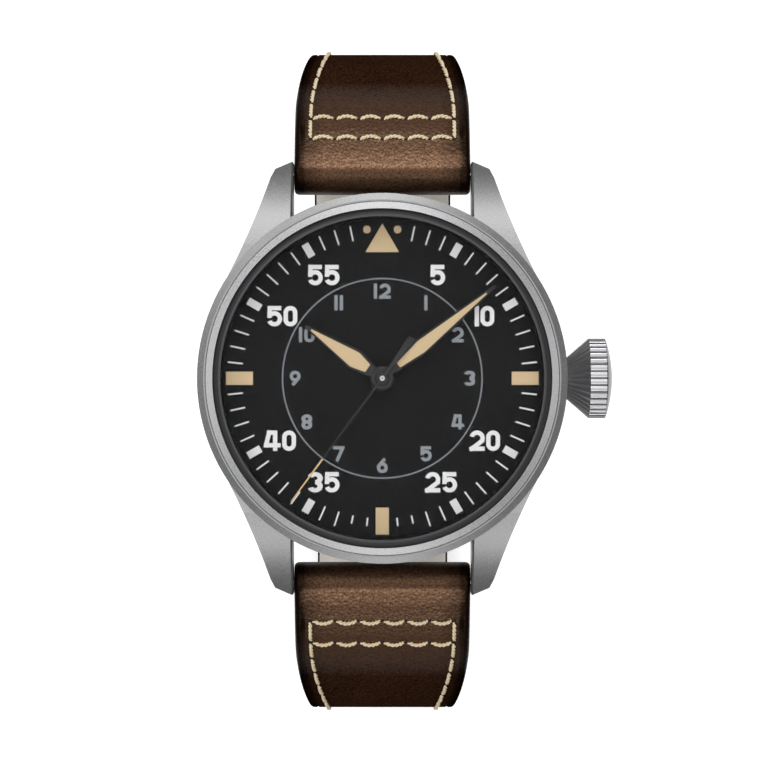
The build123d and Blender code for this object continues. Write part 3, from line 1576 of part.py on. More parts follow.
def strap_path(first_run, side_run):
    """The strap's middle line in (reach, height), as a list of runs and bends."""
    drop = radians(strap_drop_angle)
    start = (bar_reach, bar_height)
    bend_start = (start[0] + first_run * cos(drop), start[1] - first_run * sin(drop))
    shoulder = (bend_start[0] - strap_shoulder_radius * sin(drop),
                bend_start[1] - strap_shoulder_radius * cos(drop))
    side_reach = shoulder[0] + strap_shoulder_radius
    heel = (side_reach - strap_heel_radius, shoulder[1] - side_run)
    shoulder_length = strap_shoulder_radius * (pi / 2 - drop)
    heel_length = strap_heel_radius * pi / 2
    return {
        "start": start, "bend_start": bend_start, "shoulder": shoulder, "heel": heel,
        "side_reach": side_reach,
        "lengths": (first_run, shoulder_length, side_run, heel_length),
    }


def strap_point(path, distance):
    """A point of the middle line and the outward normal's angle, at a length from the bar."""
    first, shoulder_length, side_run, heel_length = path["lengths"]
    normal = 90 - strap_drop_angle
    if distance <= first:
        drop = radians(strap_drop_angle)
        start = path["start"]
        return (start[0] + distance * cos(drop), start[1] - distance * sin(drop)), normal
    distance -= first
    if distance <= shoulder_length:
        angle = normal - degrees(distance / strap_shoulder_radius)
        offset = polar(strap_shoulder_radius, angle)
        return (path["shoulder"][0] + offset[0], path["shoulder"][1] + offset[1]), angle
    distance -= shoulder_length
    if distance <= side_run:
        return (path["side_reach"], path["shoulder"][1] - distance), 0
    distance -= side_run
    if distance <= heel_length:
        angle = -degrees(distance / strap_heel_radius)
        offset = polar(strap_heel_radius, angle)
        return (path["heel"][0] + offset[0], path["heel"][1] + offset[1]), angle
    distance -= heel_length
    return (path["heel"][0] - distance, path["heel"][1] - strap_heel_radius), -90


def strap_end_distance(path):
    """The length of the short half: to the end of its last bend."""
    return sum(path["lengths"])


def blend_share(value, start, end):
    """A smooth share from nought to one between two values."""
    share = min(max((value - start) / (end - start), 0), 1)
    return share * share * (3 - 2 * share)


def strap_thickness(distance, end_thickness, length):
    """The strap's thickness at a length from the bar."""
    root = strap_root_thickness - (strap_root_thickness - strap_body_thickness) * blend_share(
        distance, strap_root_length, strap_body_length)
    return root - (strap_body_thickness - end_thickness) * blend_share(
        distance, strap_body_length, length)


def strap_half_width(distance, tongue_end=None):
    """Half the strap's width at a length from the bar; a tongue narrows to its end."""
    taper = blend_share(distance, strap_taper_start, strap_taper_end)
    half = (strap_width - (strap_width - strap_end_width) * taper) / 2
    if tongue_end and distance > tongue_end - strap_tip_length:
        share = 1 - (tongue_end - distance) / strap_tip_length
        tip_half = strap_tip_width / 2
        half = tip_half + (half - tip_half) * sqrt(max(1 - share ** 2, 0))
    return half


def strap_stations(start, length):
    """The lengths from the bar at which the strap's sections stand."""
    count = round((length - start) / strap_section_step)
    return [start + (length - start) * number / count for number in range(count + 1)]


def strap_layer(path, start, length, low, high, tongue_end=None):
    """A layer of the strap between two depths; a depth is a function of the distance."""
    sections = []
    for distance in strap_stations(start, length):
        point, normal = strap_point(path, distance)
        outward = (cos(radians(normal)), sin(radians(normal)))
        half = strap_half_width(distance, tongue_end)
        corners = []
        for depth, side in ((low, -1), (high, -1), (high, 1), (low, 1)):
            offset = depth(distance)
            corners.append((side * half, point[0] + offset * outward[0],
                            point[1] + offset * outward[1]))
        sections.append(Wire(Polyline(*corners, close=True).edges()))
    return loft([make_face(section) for section in sections], ruled=True)


def strap_layers(path, length, end_thickness, tongue_end=None):
    """The outer leather with its loop and the lining behind it."""
    def outer(distance):
        return strap_thickness(distance, end_thickness, length) / 2

    def inner(distance):
        return -outer(distance)

    def seam(distance):
        return inner(distance) + lining_thickness

    whole_root = strap_layer(path, 0, lining_start, inner, outer)
    leather_body = strap_layer(path, lining_start, length, seam, outer, tongue_end)
    lining = strap_layer(path, lining_start, length, inner, seam, tongue_end)
    loop = lying_cylinder(strap_fold_radius, -strap_width / 2, strap_width / 2, bar_height,
                          bar_reach)
    bore = lying_cylinder(bar_radius + strap_fold_gap, -strap_width, strap_width, bar_height,
                          bar_reach)
    leather = (leather_body + whole_root + loop) - bore
    return leather, lining


def short_path():
    """The middle line of the half at twelve o'clock."""
    return strap_path(strap_top_first_run, strap_side_run)


def long_path():
    """The middle line of the half at six o'clock, which the watch stands on."""
    return strap_path(strap_bottom_first_run, strap_low_side_run)


def short_length():
    """The length of the half that carries the buckle."""
    return strap_end_distance(short_path()) + strap_flat_run


def buckle_centre():
    """The buckle's bar, as (reach, height)."""
    end, _ = strap_point(short_path(), short_length())
    return end[0] - buckle_bar_offset, end[1]


def strap_hole(path, distance):
    """A cutter across the strap at a length from the bar."""
    point, normal = strap_point(path, distance)
    direction = (0, cos(radians(normal)), sin(radians(normal)))
    plane = Plane(origin=(0, *point), x_dir=(1, 0, 0), z_dir=direction)
    return plane * Cylinder(strap_hole_radius, 2 * strap_root_thickness)


def short_half():
    """The leather and the lining of the half that carries the buckle."""
    leather, lining = strap_layers(short_path(), short_length(), strap_end_thickness)
    reach, height = buckle_centre()
    loop = lying_cylinder(buckle_loop_radius, -strap_end_width / 2, strap_end_width / 2, height,
                          reach)
    bore = lying_cylinder(buckle_bar_radius + strap_fold_gap, -strap_width, strap_width, height,
                          reach)
    slot_half = tang_width / 2 + tang_slot_gap
    slot = Pos(0, reach - buckle_loop_radius - overrun, height) * Box(
        2 * slot_half, tang_slot_length + buckle_loop_radius + overrun, 2 * strap_root_thickness,
        align=(Align.CENTER, Align.MIN, Align.CENTER))
    lining -= lying_cylinder(buckle_loop_radius, -strap_width, strap_width, height, reach)
    return leather + loop - bore - slot, lining - slot


def strap_top_leather():
    """The outer leather at twelve o'clock, folded round both of its bars."""
    return short_half()[0]


def strap_top_lining():
    """The lining at twelve o'clock."""
    return short_half()[1]


def long_half():
    """The leather and the lining at six o'clock, pierced for the tang."""
    path = long_path()
    leather, lining = strap_layers(path, strap_long_length, strap_tail_thickness,
                                   strap_long_length)
    for number in range(strap_hole_count):
        distance = strap_long_length - strap_first_hole - number * strap_hole_pitch
        cutter = strap_hole(path, distance)
        leather -= cutter
        lining -= cutter
    return mirror(leather, Plane.XZ), mirror(lining, Plane.XZ)


def strap_bottom_leather():
    """The outer leather at six o'clock."""
    return long_half()[0]


def strap_bottom_lining():
    """The lining at six o'clock."""
    return long_half()[1]


def spring_bars():
    """The two bars between the lugs, thinner at their ends."""
    shapes = []
    half = lug_gap / 2 - bar_end_gap
    for side in (1, -1):
        reach = side * bar_reach
        bar = lying_cylinder(bar_radius, -half + bar_shoulder_length,
                             half - bar_shoulder_length, bar_height, reach)
        bar += lying_cylinder(bar_shoulder_radius, -half, half, bar_height, reach)
        tip_end = lug_gap / 2 + bar_tip_length
        bar += lying_cylinder(bar_tip_radius, -tip_end, tip_end, bar_height, reach)
        shapes.append(bar)
    return group(shapes)


def buckle_bar():
    """The bar in the strap's end that the buckle and its tang turn on."""
    reach, height = buckle_centre()
    half = buckle_bar_length / 2
    return lying_cylinder(buckle_bar_radius, -half, half, height, reach)


def buckle_frame():
    """The buckle's frame, open towards the strap, with an ear at each end of its bar."""
    reach, height = buckle_centre()
    inner_half = buckle_inner_width / 2
    outer_half = inner_half + buckle_side_width
    front = reach - buckle_length - buckle_front_width / 2
    outline = Rectangle(2 * outer_half, reach - front, align=(Align.CENTER, Align.MIN))
    outline = fillet(outline.vertices().group_by(Axis.Y)[0], buckle_corner_radius)
    hole = Pos(0, buckle_front_width) * Rectangle(
        2 * inner_half, reach - front, align=(Align.CENTER, Align.MIN))
    body = extrude(Pos(0, front, height - buckle_wire / 2) * (outline - hole),
                   amount=buckle_wire)
    for side in (-1, 1):
        start = inner_half if side > 0 else -outer_half
        body += lying_cylinder(buckle_ear_radius, start, start + buckle_side_width, height, reach)
    return body - lying_cylinder(buckle_bar_radius + running_gap,
                                 -buckle_bar_length / 2 - buckle_end_gap,
                                 buckle_bar_length / 2 + buckle_end_gap, height, reach)


def buckle_tang():
    """The tang: an eye on the bar and a blade whose tip lies on the buckle's front."""
    reach, height = buckle_centre()
    half = tang_thickness / 2
    front = reach - buckle_length
    knee = front + buckle_front_width
    tip = front - buckle_front_width / 2 - tang_overhang
    face_height = height - buckle_wire / 2 - tang_gap
    outline = make_face(Polyline(
        (reach, height - half), (knee, face_height - tang_thickness),
        (tip, face_height - tang_thickness), (tip, face_height), (knee, face_height),
        (reach, height + half), close=True))
    side_plane = Plane(origin=(-tang_width / 2, 0, 0), x_dir=(0, 1, 0), z_dir=(1, 0, 0))
    body = extrude(side_plane * outline, amount=tang_width)
    body += lying_cylinder(buckle_loop_radius, -tang_width / 2, tang_width / 2, height, reach)
    return body - lying_cylinder(buckle_bar_radius + running_gap, -tang_width, tang_width,
                                 height, reach)


def keeper(start):
    """A leather loop round the strap's end run and the room for the other half's tail."""
    path = short_path()
    heel_reach = path["heel"][0]
    distance = strap_end_distance(path) + heel_reach - start - keeper_length
    middle_height = path["heel"][1] - strap_heel_radius
    half_thickness = strap_thickness(distance, strap_end_thickness, short_length()) / 2
    half = strap_half_width(distance) + keeper_gap
    top = middle_height + half_thickness + keeper_gap
    low = middle_height - half_thickness - keeper_tail_room
    side_plane = Plane(origin=(0, start, (top + low) / 2), x_dir=(1, 0, 0), z_dir=(0, -1, 0))
    outer = RectangleRounded(2 * (half + keeper_wall), top - low + 2 * keeper_wall,
                             keeper_corner_radius)
    inner = Rectangle(2 * half, top - low)
    return extrude(side_plane * (outer - inner), amount=-keeper_length)


def fixed_keeper():
    """The sewn keeper beside the buckle."""
    end, _ = strap_point(short_path(), short_length())
    return keeper(end[0] + fixed_keeper_offset)


def free_keeper():
    """The keeper that slides on the strap."""
    return keeper(short_path()["heel"][0] - free_keeper_offset - keeper_length)


NODES = (
    case_middle, bezel, crystal, gaskets, flange_ring, case_back, case_back_window, crown_tube,
    crown, winding_stem, winding_pinion, sliding_pinion,
    setting_lever, movement_ring, main_plate, barrel_bridge, train_bridge, balance_cock,
    pallet_bridge, automatic_bridge, jewels, bridge_screws, rotor, rotor_bearing,
    reversing_wheel, barrel, mainspring, barrel_arbor, ratchet_wheel, crown_wheel, click,
    centre_wheel, third_wheel, fourth_wheel, escape_wheel, pallet_fork, balance_wheel,
    hairspring, cannon_pinion, minute_wheel, hour_wheel, dial, minute_scale, hour_scale,
    lume_markers, hour_hand, hour_hand_lume, minute_hand, minute_hand_lume, seconds_hand,
    spring_bars, strap_top_leather, strap_top_lining, strap_bottom_leather,
    strap_bottom_lining, buckle_bar, buckle_frame, buckle_tang, fixed_keeper, free_keeper,
)


def main():
    """Makes every piece and writes it under its own name."""
    os.makedirs("parts", exist_ok=True)
    for make in NODES:
        export_step(make(), f"parts/{make.__name__}.step")


if __name__ == "__main__":
    main()
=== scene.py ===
from math import cos, pi, radians, sin, sqrt

import bmesh
import bpy
from mathutils import Matrix, Vector

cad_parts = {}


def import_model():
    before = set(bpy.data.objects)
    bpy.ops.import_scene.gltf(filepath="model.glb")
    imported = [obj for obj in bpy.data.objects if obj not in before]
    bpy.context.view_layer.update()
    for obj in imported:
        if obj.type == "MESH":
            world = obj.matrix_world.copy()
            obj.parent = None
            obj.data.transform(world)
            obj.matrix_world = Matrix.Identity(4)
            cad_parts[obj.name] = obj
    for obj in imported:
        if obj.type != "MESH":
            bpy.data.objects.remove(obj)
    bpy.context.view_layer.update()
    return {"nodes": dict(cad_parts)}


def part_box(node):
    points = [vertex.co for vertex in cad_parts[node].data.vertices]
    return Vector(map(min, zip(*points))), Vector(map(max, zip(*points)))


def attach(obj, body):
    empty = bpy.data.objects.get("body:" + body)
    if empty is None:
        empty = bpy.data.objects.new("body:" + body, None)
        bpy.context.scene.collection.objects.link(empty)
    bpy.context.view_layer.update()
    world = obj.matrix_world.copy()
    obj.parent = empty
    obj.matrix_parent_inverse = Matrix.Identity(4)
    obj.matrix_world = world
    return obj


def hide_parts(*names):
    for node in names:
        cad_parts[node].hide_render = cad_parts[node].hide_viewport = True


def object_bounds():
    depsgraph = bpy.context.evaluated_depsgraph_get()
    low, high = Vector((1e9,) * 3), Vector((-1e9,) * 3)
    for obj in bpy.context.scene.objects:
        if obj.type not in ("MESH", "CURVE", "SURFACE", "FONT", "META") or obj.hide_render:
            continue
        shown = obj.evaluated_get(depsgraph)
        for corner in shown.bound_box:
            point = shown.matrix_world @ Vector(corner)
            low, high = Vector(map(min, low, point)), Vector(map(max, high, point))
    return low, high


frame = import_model()

# The looks of a pilot watch. Metres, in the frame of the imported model: the dial looks up along
# +Z, twelve o'clock is +Y, and the origin is on the dial's axis on the case back's face.
mm = 0.001

# The camera: straight above the dial, far away, as the photograph was taken
photo_size = 768
photo_scale = 8600.0
camera_distance = 350 * mm
dial_photo_x = 382.3
dial_photo_y = 378.3
sensor_width = 36.0

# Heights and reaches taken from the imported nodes
dial_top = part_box("dial")[1].z
floor_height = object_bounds()[0].z
crown_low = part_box("crown")[0].x
crown_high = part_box("crown")[1].x

# The strap's middle line in (reach, height), starting at the spring bar
bar_reach = 24.1 * mm
bar_height = 2.3 * mm
bar_radius = 0.75 * mm
drop_angle = radians(30)
short_first_run = 4.6 * mm
long_first_run = 5.3 * mm
shoulder_radius = 22 * mm
heel_radius = 18 * mm
short_side_run = 4.0 * mm
long_side_run = 22.6 * mm
short_flat_run = 19.0 * mm
long_length = 113.0 * mm

# The strap's section
strap_width = 20.8 * mm
strap_end_width = 18.0 * mm
taper_start = 8.0 * mm
taper_end = 26.0 * mm
tip_length = 9.0 * mm
tip_width = 7.0 * mm
root_thickness = 4.6 * mm
body_thickness = 3.0 * mm
short_end_thickness = 2.4 * mm
tail_thickness = 2.2 * mm
root_length = 4.0 * mm
body_length = 13.0 * mm
fold_radius = 2.4 * mm
fold_gap = 0.05 * mm
bore = bar_radius + fold_gap
fold_meet = 3.0 * mm
fold_steps = 24
sheet_gap = 0.02 * mm
seam_run = 2.0 * mm
lining_thickness = 0.9 * mm
lining_start = 9.0 * mm
lining_inset = 0.25 * mm
edge_round = 0.55 * mm
under_round = 0.12 * mm
lining_round = 0.1 * mm
crease_inset = 1.0 * mm
crease_width = 0.34 * mm
crease_depth = 0.11 * mm
crease_start = 4.0 * mm
crease_profile = ((1.0, 0), (0.5, 0.75), (0, 1), (-0.5, 0.75), (-1.0, 0))
station_step = 0.45 * mm

# Steps round a section's corners and along its flats, and the turn where its painted edge starts
corner_steps = 5
flat_parts = 8
edge_turn = pi / 5

# The burnished margin, by distance from the strap's edge, and painted shade, by reach beyond the
# spring bar
burnish_start = 0.3 * mm
burnish_end = 2.0 * mm
fold_crown_shade = 0.5
fold_crown_shade_span = (0.2 * mm, 1.5 * mm)
hollow_shade = 0.33
hollow_start = (1.9 * mm, 3.1 * mm)
hollow_end = (5.2 * mm, 6.4 * mm)

# The strap's holes, the buckle's end and the keepers
hole_count = 7
hole_pitch = 6.5 * mm
first_hole = 17.0 * mm
hole_radius = 1.05 * mm
hole_sides = 32
buckle_offset = 0.9 * mm
buckle_fold_radius = 1.25 * mm
buckle_fold_length = 10.0 * mm
buckle_fold_steps = 20
buckle_back_steps = 14
tang_slot_width = 2.4 * mm
tang_slot_length = 6.0 * mm
keeper_wall = 1.1 * mm
keeper_corner = 1.1 * mm
keeper_steps = 8
keeper_round = 0.35 * keeper_wall

# Stitching: the rows across are counted from the spring bar, and the last from the buckle
thread_radius = 0.22 * mm
strand_radius = 0.135 * mm
strand_offset = 0.12 * mm
strand_sides = 7
stitch_turns = 2.6
stitch_steps = 18
stitch_gap = 0.055
stitch_sink = 1.3 * thread_radius
stitch_rise = 2.1 * thread_radius
stitch_fullness = 0.45
side_pitch = 2.7 * mm
side_margin = 1.85 * mm
side_margin_growth = 0.5 * mm
side_margin_span = (6 * mm, 22 * mm)
cross_half_width = 8.45 * mm
cross_count = 6
cross_bow = 0.28 * mm
top_rows = (3.6 * mm, 6.48 * mm)
bottom_rows = (4.06 * mm, 7.21 * mm)
buckle_row = 8.8 * mm
tongue_stitches = 8
tongue_margin_share = 0.4
needle_radius = 0.24 * mm
needle_narrowing = 0.8
needle_profile = ((-0.1 * mm, 1.0), (0.01 * mm, 1.0), (0.03 * mm, 0.6))
needle_sides = 12

# The leather's polish, which fades down the hanging sides
leather_polish = 2.0
polish_height = 0 * mm
matt_height = -4.8 * mm
leather_shine = (1.0, 0.57, 0.34)

# The seconds hand, bevels, crystal rim, stripes, and the crown's ribs as shares of its length
seconds_tip_start = 11.6 * mm
seconds_cap_radius = 0.3 * mm
seconds_pin_radius = 0.1 * mm
hand_bevel = 0.11 * mm
fine_bevel = 0.04 * mm
bevel_angle = radians(40)
flat_angle = radians(1)
weld_gap = 0.001 * mm
crystal_rim_start = 18.72 * mm
crown_rib_start = 0.483
crown_rib_end = 0.84
crown_neck_fade = 0.03
crown_fade = 0.01
stripe_size = 4.8 * mm
stripe_turn = radians(38)

# The studio: the floor, the light around and three lamps as (name, place, size, power)
floor_size = 3.0
stitch_room = 0.6 * mm
floor_glow = 0.5
floor_near = 65 * mm
floor_far = 125 * mm
floor_tone = 0.9
floor_far_tone = 0.25
world_strength = 2.3
world_stops = [(0.0, 0.04), (0.3, 0.08), (0.5, 0.2), (0.7, 0.38), (0.86, 0.7), (0.95, 1.0)]
petal_depth = 0.75
petal_growth = 6.0
side_petal_dim = 0.6
side_petal_growth = 1.2
upper_left_share = 0.19
least_outward = 0.0001
lamps = (
    ("upper_left", (-0.42, 0.42, 0.52), 0.14, 0.8),
    ("back_sheen", (0, 0.55, 0.43), 0.18, 1.1),
    ("front_sheen", (0, -0.55, 0.43), 0.18, 0.72),
)


def put_all(tree, node, inputs):
    """Sets a node's inputs: a socket is linked, and any other value is set as it is."""
    for key, value in inputs.items():
        socket = node.inputs[key]
        if isinstance(value, bpy.types.NodeSocket):
            tree.links.new(value, socket)
        elif socket.type == "RGBA":
            socket.default_value = (*value, 1)
        else:
            socket.default_value = value


def add(tree, kind, inputs, **settings):
    """A shader node with its properties and inputs set."""
    node = tree.nodes.new(kind)
    for key, value in settings.items():
        setattr(node, key, value)
    put_all(tree, node, inputs)
    return node


def new_material(name):
    """A material and its node tree."""
    material = bpy.data.materials.new(name)
    material.use_nodes = True
    return material, material.node_tree


def dressed(material, inputs):
    """The material, with the inputs of its principled shader set."""
    tree = material.node_tree
    put_all(tree, tree.nodes["Principled BSDF"], inputs)
    return material


def object_coordinates(tree, stretch=(1, 1, 1), turn=0):
    """Coordinates in metres on the piece, turned about Z and stretched along its axes."""
    source = tree.nodes.new("ShaderNodeTexCoord")
    return add(tree, "ShaderNodeMapping", {
        "Vector": source.outputs["Object"], "Rotation": (0, 0, turn),
        "Scale": stretch}).outputs["Vector"]


def axes(tree, kind="Object"):
    """The X, Y and Z of a place on the piece, or of a direction in the world."""
    source = tree.nodes.new("ShaderNodeTexCoord")
    split = add(tree, "ShaderNodeSeparateXYZ", {"Vector": source.outputs[kind]})
    return [split.outputs[axis] for axis in "XYZ"]


def axis_radius(tree):
    """The distance from the dial's axis on the piece."""
    flat = object_coordinates(tree, (1, 1, 0))
    return add(tree, "ShaderNodeVectorMath", {0: flat}, operation="LENGTH").outputs["Value"]


def maths(tree, first, second, kind="MULTIPLY"):
    """The product, or another pairing, of two values; each is a socket or a number."""
    return add(tree, "ShaderNodeMath", {0: first, 1: second}, operation=kind).outputs["Value"]


def ranged(tree, value, start, end, low=0.0, high=1.0, kind="SMOOTHSTEP"):
    """A level that goes from low to high as a value goes from start to end."""
    return add(tree, "ShaderNodeMapRange", {
        "Value": value, "From Min": start, "From Max": end, "To Min": low, "To Max": high},
        interpolation_type=kind).outputs["Result"]


def noise(tree, vector, grain, detail=2.0, roughness=0.5):
    """Noise whose grain is a length in metres."""
    return add(tree, "ShaderNodeTexNoise", {
        "Vector": vector, "Scale": 1 / grain, "Detail": detail,
        "Roughness": roughness}).outputs["Fac"]


def waves(tree, vector, size, distortion=0.0, **settings):
    """A wave texture; its waves are about a third of its size apart."""
    return add(tree, "ShaderNodeTexWave", {
        "Vector": vector, "Scale": 1 / size, "Distortion": distortion}, **settings).outputs["Fac"]


def ramp(tree, value, stops):
    """A colour ramp through (place, colour) stops; a colour is a grey level or three values."""
    node = add(tree, "ShaderNodeValToRGB", {"Fac": value})
    elements = node.color_ramp.elements
    while len(elements) < len(stops):
        elements.new(0.5)
    for element, (place, colour) in zip(elements, stops):
        element.position = place
        grey = isinstance(colour, (int, float))
        element.color = (colour, colour, colour, 1) if grey else (*colour, 1)
    return node.outputs["Color"]


def between(tree, value, low, high, start=0.3, end=0.7):
    """A ramp with two stops."""
    return ramp(tree, value, [(start, low), (end, high)])


def mixed(tree, share, low, high, kind="MIX"):
    """A colour mix; share, low and high are sockets or plain values."""
    return add(tree, "ShaderNodeMix", {0: share, 6: low, 7: high}, data_type="RGBA",
               blend_type=kind).outputs[2]


def bump(tree, *heights):
    """A normal bumped by (height socket, depth in metres) pairs, the finest last."""
    inputs = {"Strength": 1.0}
    for height, depth in heights:
        inputs.update({"Height": height, "Distance": depth})
        inputs["Normal"] = add(tree, "ShaderNodeBump", inputs).outputs["Normal"]
    return inputs["Normal"]


def tone(red, green, blue):
    """A linear colour from display values up to 255."""
    def linear(value):
        value /= 255
        return value / 12.92 if value <= 0.04045 else ((value + 0.055) / 1.055) ** 2.4
    return tuple(linear(value) for value in (red, green, blue))


def shaded(colour, share):
    """A colour made darker or lighter."""
    return [min(channel * share, 1) for channel in colour]


def metal(name, colour, rough, grain=0.12 * mm, depth=0.004 * mm, speckle=0.0, smudge=0.04,
          smudge_size=9 * mm):
    """A metal with a fine grain: speckle lightens and darkens single grains."""
    material, tree = new_material(name)
    vector = object_coordinates(tree)
    fine = noise(tree, vector, grain, detail=1.0)
    broad = noise(tree, vector, smudge_size, detail=3.0)
    speckled = ramp(tree, fine, [(0.3, shaded(colour, 1 - speckle)), (0.5, colour),
                                 (0.7, shaded(colour, 1 + speckle))])
    shade = between(tree, broad, 1 - smudge, 1.0)
    return dressed(material, {
        "Metallic": 1.0, "Base Color": mixed(tree, 1.0, speckled, shade, "MULTIPLY"),
        "Roughness": between(tree, fine, rough - smudge, rough + smudge),
        "Normal": bump(tree, (fine, depth))})


def line_metal(material, lines, ends, colours, roughs, *heights):
    """Gives a metal two colours and two roughnesses, which its lines run between."""
    tree = material.node_tree
    return dressed(material, {
        "Metallic": 1.0, "Base Color": between(tree, lines, *colours, *ends),
        "Roughness": between(tree, lines, *roughs, *ends), "Normal": bump(tree, *heights)})


def brushed_metal(name, colour, rough, stretch, grain=0.06 * mm, depth=0.003 * mm, dim=0.82,
                  spread=0.06):
    """A metal with fine lines drawn along the axis whose stretch is small."""
    material, tree = new_material(name)
    lines = noise(tree, object_coordinates(tree, stretch), grain)
    return line_metal(material, lines, (0.3, 0.7), (shaded(colour, dim), colour),
                      (rough - spread, rough + spread), (lines, depth))


def striped_metal(name, colour, roughs, grain=0.05 * mm, depth=0.012 * mm,
                  fine_depth=0.002 * mm, dim=0.72):
    """Plated bridges with broad straight ribs of graining across them."""
    material, tree = new_material(name)
    vector = object_coordinates(tree, turn=stripe_turn)
    stripes = waves(tree, vector, stripe_size, wave_profile="SAW")
    fine = noise(tree, vector, grain, detail=1.0)
    return line_metal(material, stripes, (0.0, 1.0), (shaded(colour, dim), colour), roughs,
                      (stripes, depth), (fine, fine_depth))


def circular_metal(name, colour, rough, size, depth=0.004 * mm, dim=0.85, spread=0.05):
    """A metal whose fine graining runs in circles about the dial's axis."""
    material, tree = new_material(name)
    rings = waves(tree, object_coordinates(tree, (1, 1, 0)), size, distortion=1.5,
                  wave_type="RINGS", rings_direction="SPHERICAL")
    return line_metal(material, rings, (0.0, 1.0), (shaded(colour, dim), colour),
                      (rough - spread, rough + spread), (rings, depth))


def crown_metal(name, lit_neck, ribs, shaded_dome, rough):
    """The crown's one steel: ribs between a neck with painted light and a dome with painted
    shade.
    """
    material, tree = new_material(name)
    place = ranged(tree, axes(tree)[0], crown_low, crown_high, kind="LINEAR")
    return dressed(material, {
        "Metallic": 1.0, "Roughness": rough,
        "Base Color": ramp(tree, place, [
            (0.0, lit_neck), (crown_rib_start - crown_neck_fade, lit_neck),
            (crown_rib_start + crown_fade, ribs), (crown_rib_end - crown_fade, ribs),
            (crown_rib_end + crown_fade, shaded_dome)])})


def paint(name, colour, rough, grain=0.1 * mm, depth=0.002 * mm, variation=0.06, specular=0.5):
    """A thin even coat: print, lacquer or luminous paste, with a slight grain."""
    material, tree = new_material(name)
    fine = noise(tree, object_coordinates(tree), grain)
    return dressed(material, {
        "Base Color": between(tree, fine, shaded(colour, 1 - variation),
                              shaded(colour, 1 + variation)),
        "Roughness": rough, "Specular IOR Level": specular, "Normal": bump(tree, (fine, depth))})


def seconds_paint(name, dark, light, bright):
    """The seconds hand: dark, with a light tip and a bare metal cap on its middle."""
    material, tree = new_material(name)
    radius = axis_radius(tree)
    beyond = maths(tree, radius, seconds_tip_start, "GREATER_THAN")
    cap = maths(tree, maths(tree, radius, seconds_cap_radius, "LESS_THAN"),
                maths(tree, radius, seconds_pin_radius, "GREATER_THAN"))
    return dressed(material, {
        "Base Color": mixed(tree, cap, mixed(tree, beyond, dark, light), bright),
        "Metallic": cap, "Roughness": 0.35, "Specular IOR Level": 0.2})


def blackened_tube(name, bare, black):
    """The cannon pinion: steel, with its end blackened where it shows among the hands."""
    material, tree = new_material(name)
    high = maths(tree, axes(tree)[2], dial_top, "GREATER_THAN")
    return dressed(material, {
        "Base Color": mixed(tree, high, bare, black), "Roughness": 0.35,
        "Metallic": maths(tree, 1.0, high, "SUBTRACT"), "Specular IOR Level": 0.2})


def glass(name):
    """The crystal: clear, with a trace of reflections and a finely ground rim."""
    material, tree = new_material(name)
    rim = maths(tree, axis_radius(tree), crystal_rim_start, "GREATER_THAN")
    return dressed(material, {
        "Base Color": mixed(tree, rim, (1, 1, 1), tone(96, 96, 98)), "IOR": 1.25,
        "Roughness": between(tree, rim, 0.02, 0.5, 0, 1),
        "Transmission Weight": maths(tree, 1.0, rim, "SUBTRACT"),
        "Alpha": between(tree, rim, 0.12, 0.8, 0, 1)})


def ruby(name):
    """The jewels' red stone."""
    return dressed(new_material(name)[0], {
        "Base Color": tone(190, 20, 60), "Roughness": 0.08, "Specular IOR Level": 0.7,
        "Coat Weight": 0.6})


def leather(name, dark, light, rough, grain=0.42 * mm, depth=0.014 * mm, cloud=7 * mm,
            speck=0.27 * mm):
    """Waxed calfskin: cloudy colour, a fine mottled grain, dark burnished margins, painted shade
    over the fold and in the hollow near the bar, and a polish on the faces near the case that the
    hanging sides don't have."""
    material, tree = new_material(name)
    vector = object_coordinates(tree)
    clouds = noise(tree, vector, cloud, detail=4.0, roughness=0.6)
    specks = noise(tree, vector, speck, detail=4.0, roughness=0.75)
    pebbles = add(tree, "ShaderNodeTexVoronoi", {
        "Vector": vector, "Scale": 1 / grain, "Smoothness": 0.5},
        feature="SMOOTH_F1").outputs["Distance"]
    speckle = ramp(tree, specks, [(0.38, 0.38), (0.5, 0.95), (0.62, 1.75)])
    grained = mixed(tree, 1.0, mixed(tree, clouds, dark, light), speckle, "MULTIPLY")
    # The attribute holds the burnished margins and the painted shade over the fold and the
    # hollow; both darken the colour and dim the sheen
    margin = add(tree, "ShaderNodeAttribute", {}, attribute_name="burnish_and_shade").outputs["Fac"]
    burnish_and_shade = ramp(tree, margin, [(0.0, 1.0), (0.5, 0.45), (1.0, 0.1)])
    polish = ranged(tree, axes(tree)[2], matt_height, polish_height, high=leather_polish)
    mottled = ramp(tree, specks, [(0.36, 0.42), (0.5, 0.8), (0.64, 1.0)])
    return dressed(material, {
        "Base Color": mixed(tree, 1.0, grained, burnish_and_shade, "MULTIPLY"),
        "Roughness": between(tree, specks, rough + 0.1, rough - 0.08),
        "Specular IOR Level": maths(tree, maths(tree, polish, mottled), burnish_and_shade),
        "Specular Tint": leather_shine,
        "Normal": bump(tree, (pebbles, 1.6 * depth), (specks, depth))})


def suede(name, dark, light, grain=0.16 * mm, depth=0.04 * mm, cloud=5 * mm):
    """The soft lining leather."""
    material, tree = new_material(name)
    vector = object_coordinates(tree)
    nap = noise(tree, vector, grain, detail=3.0, roughness=0.7)
    shade = between(tree, noise(tree, vector, cloud, detail=3.0), 0.82, 1.05)
    return dressed(material, {
        "Base Color": mixed(tree, 1.0, mixed(tree, nap, dark, light), shade, "MULTIPLY"),
        "Roughness": 0.9, "Specular IOR Level": 0.2, "Sheen Weight": 0.25,
        "Sheen Roughness": 0.5, "Normal": bump(tree, (nap, depth))})


def thread(name, colour, grain=0.08 * mm, depth=0.012 * mm):
    """Waxed linen thread."""
    material, tree = new_material(name)
    fibres = noise(tree, object_coordinates(tree), grain, detail=3.0)
    return dressed(material, {
        "Base Color": between(tree, fibres, shaded(colour, 0.6), colour, end=0.5),
        "Roughness": 0.6, "Specular IOR Level": 0.35, "Normal": bump(tree, (fibres, depth))})


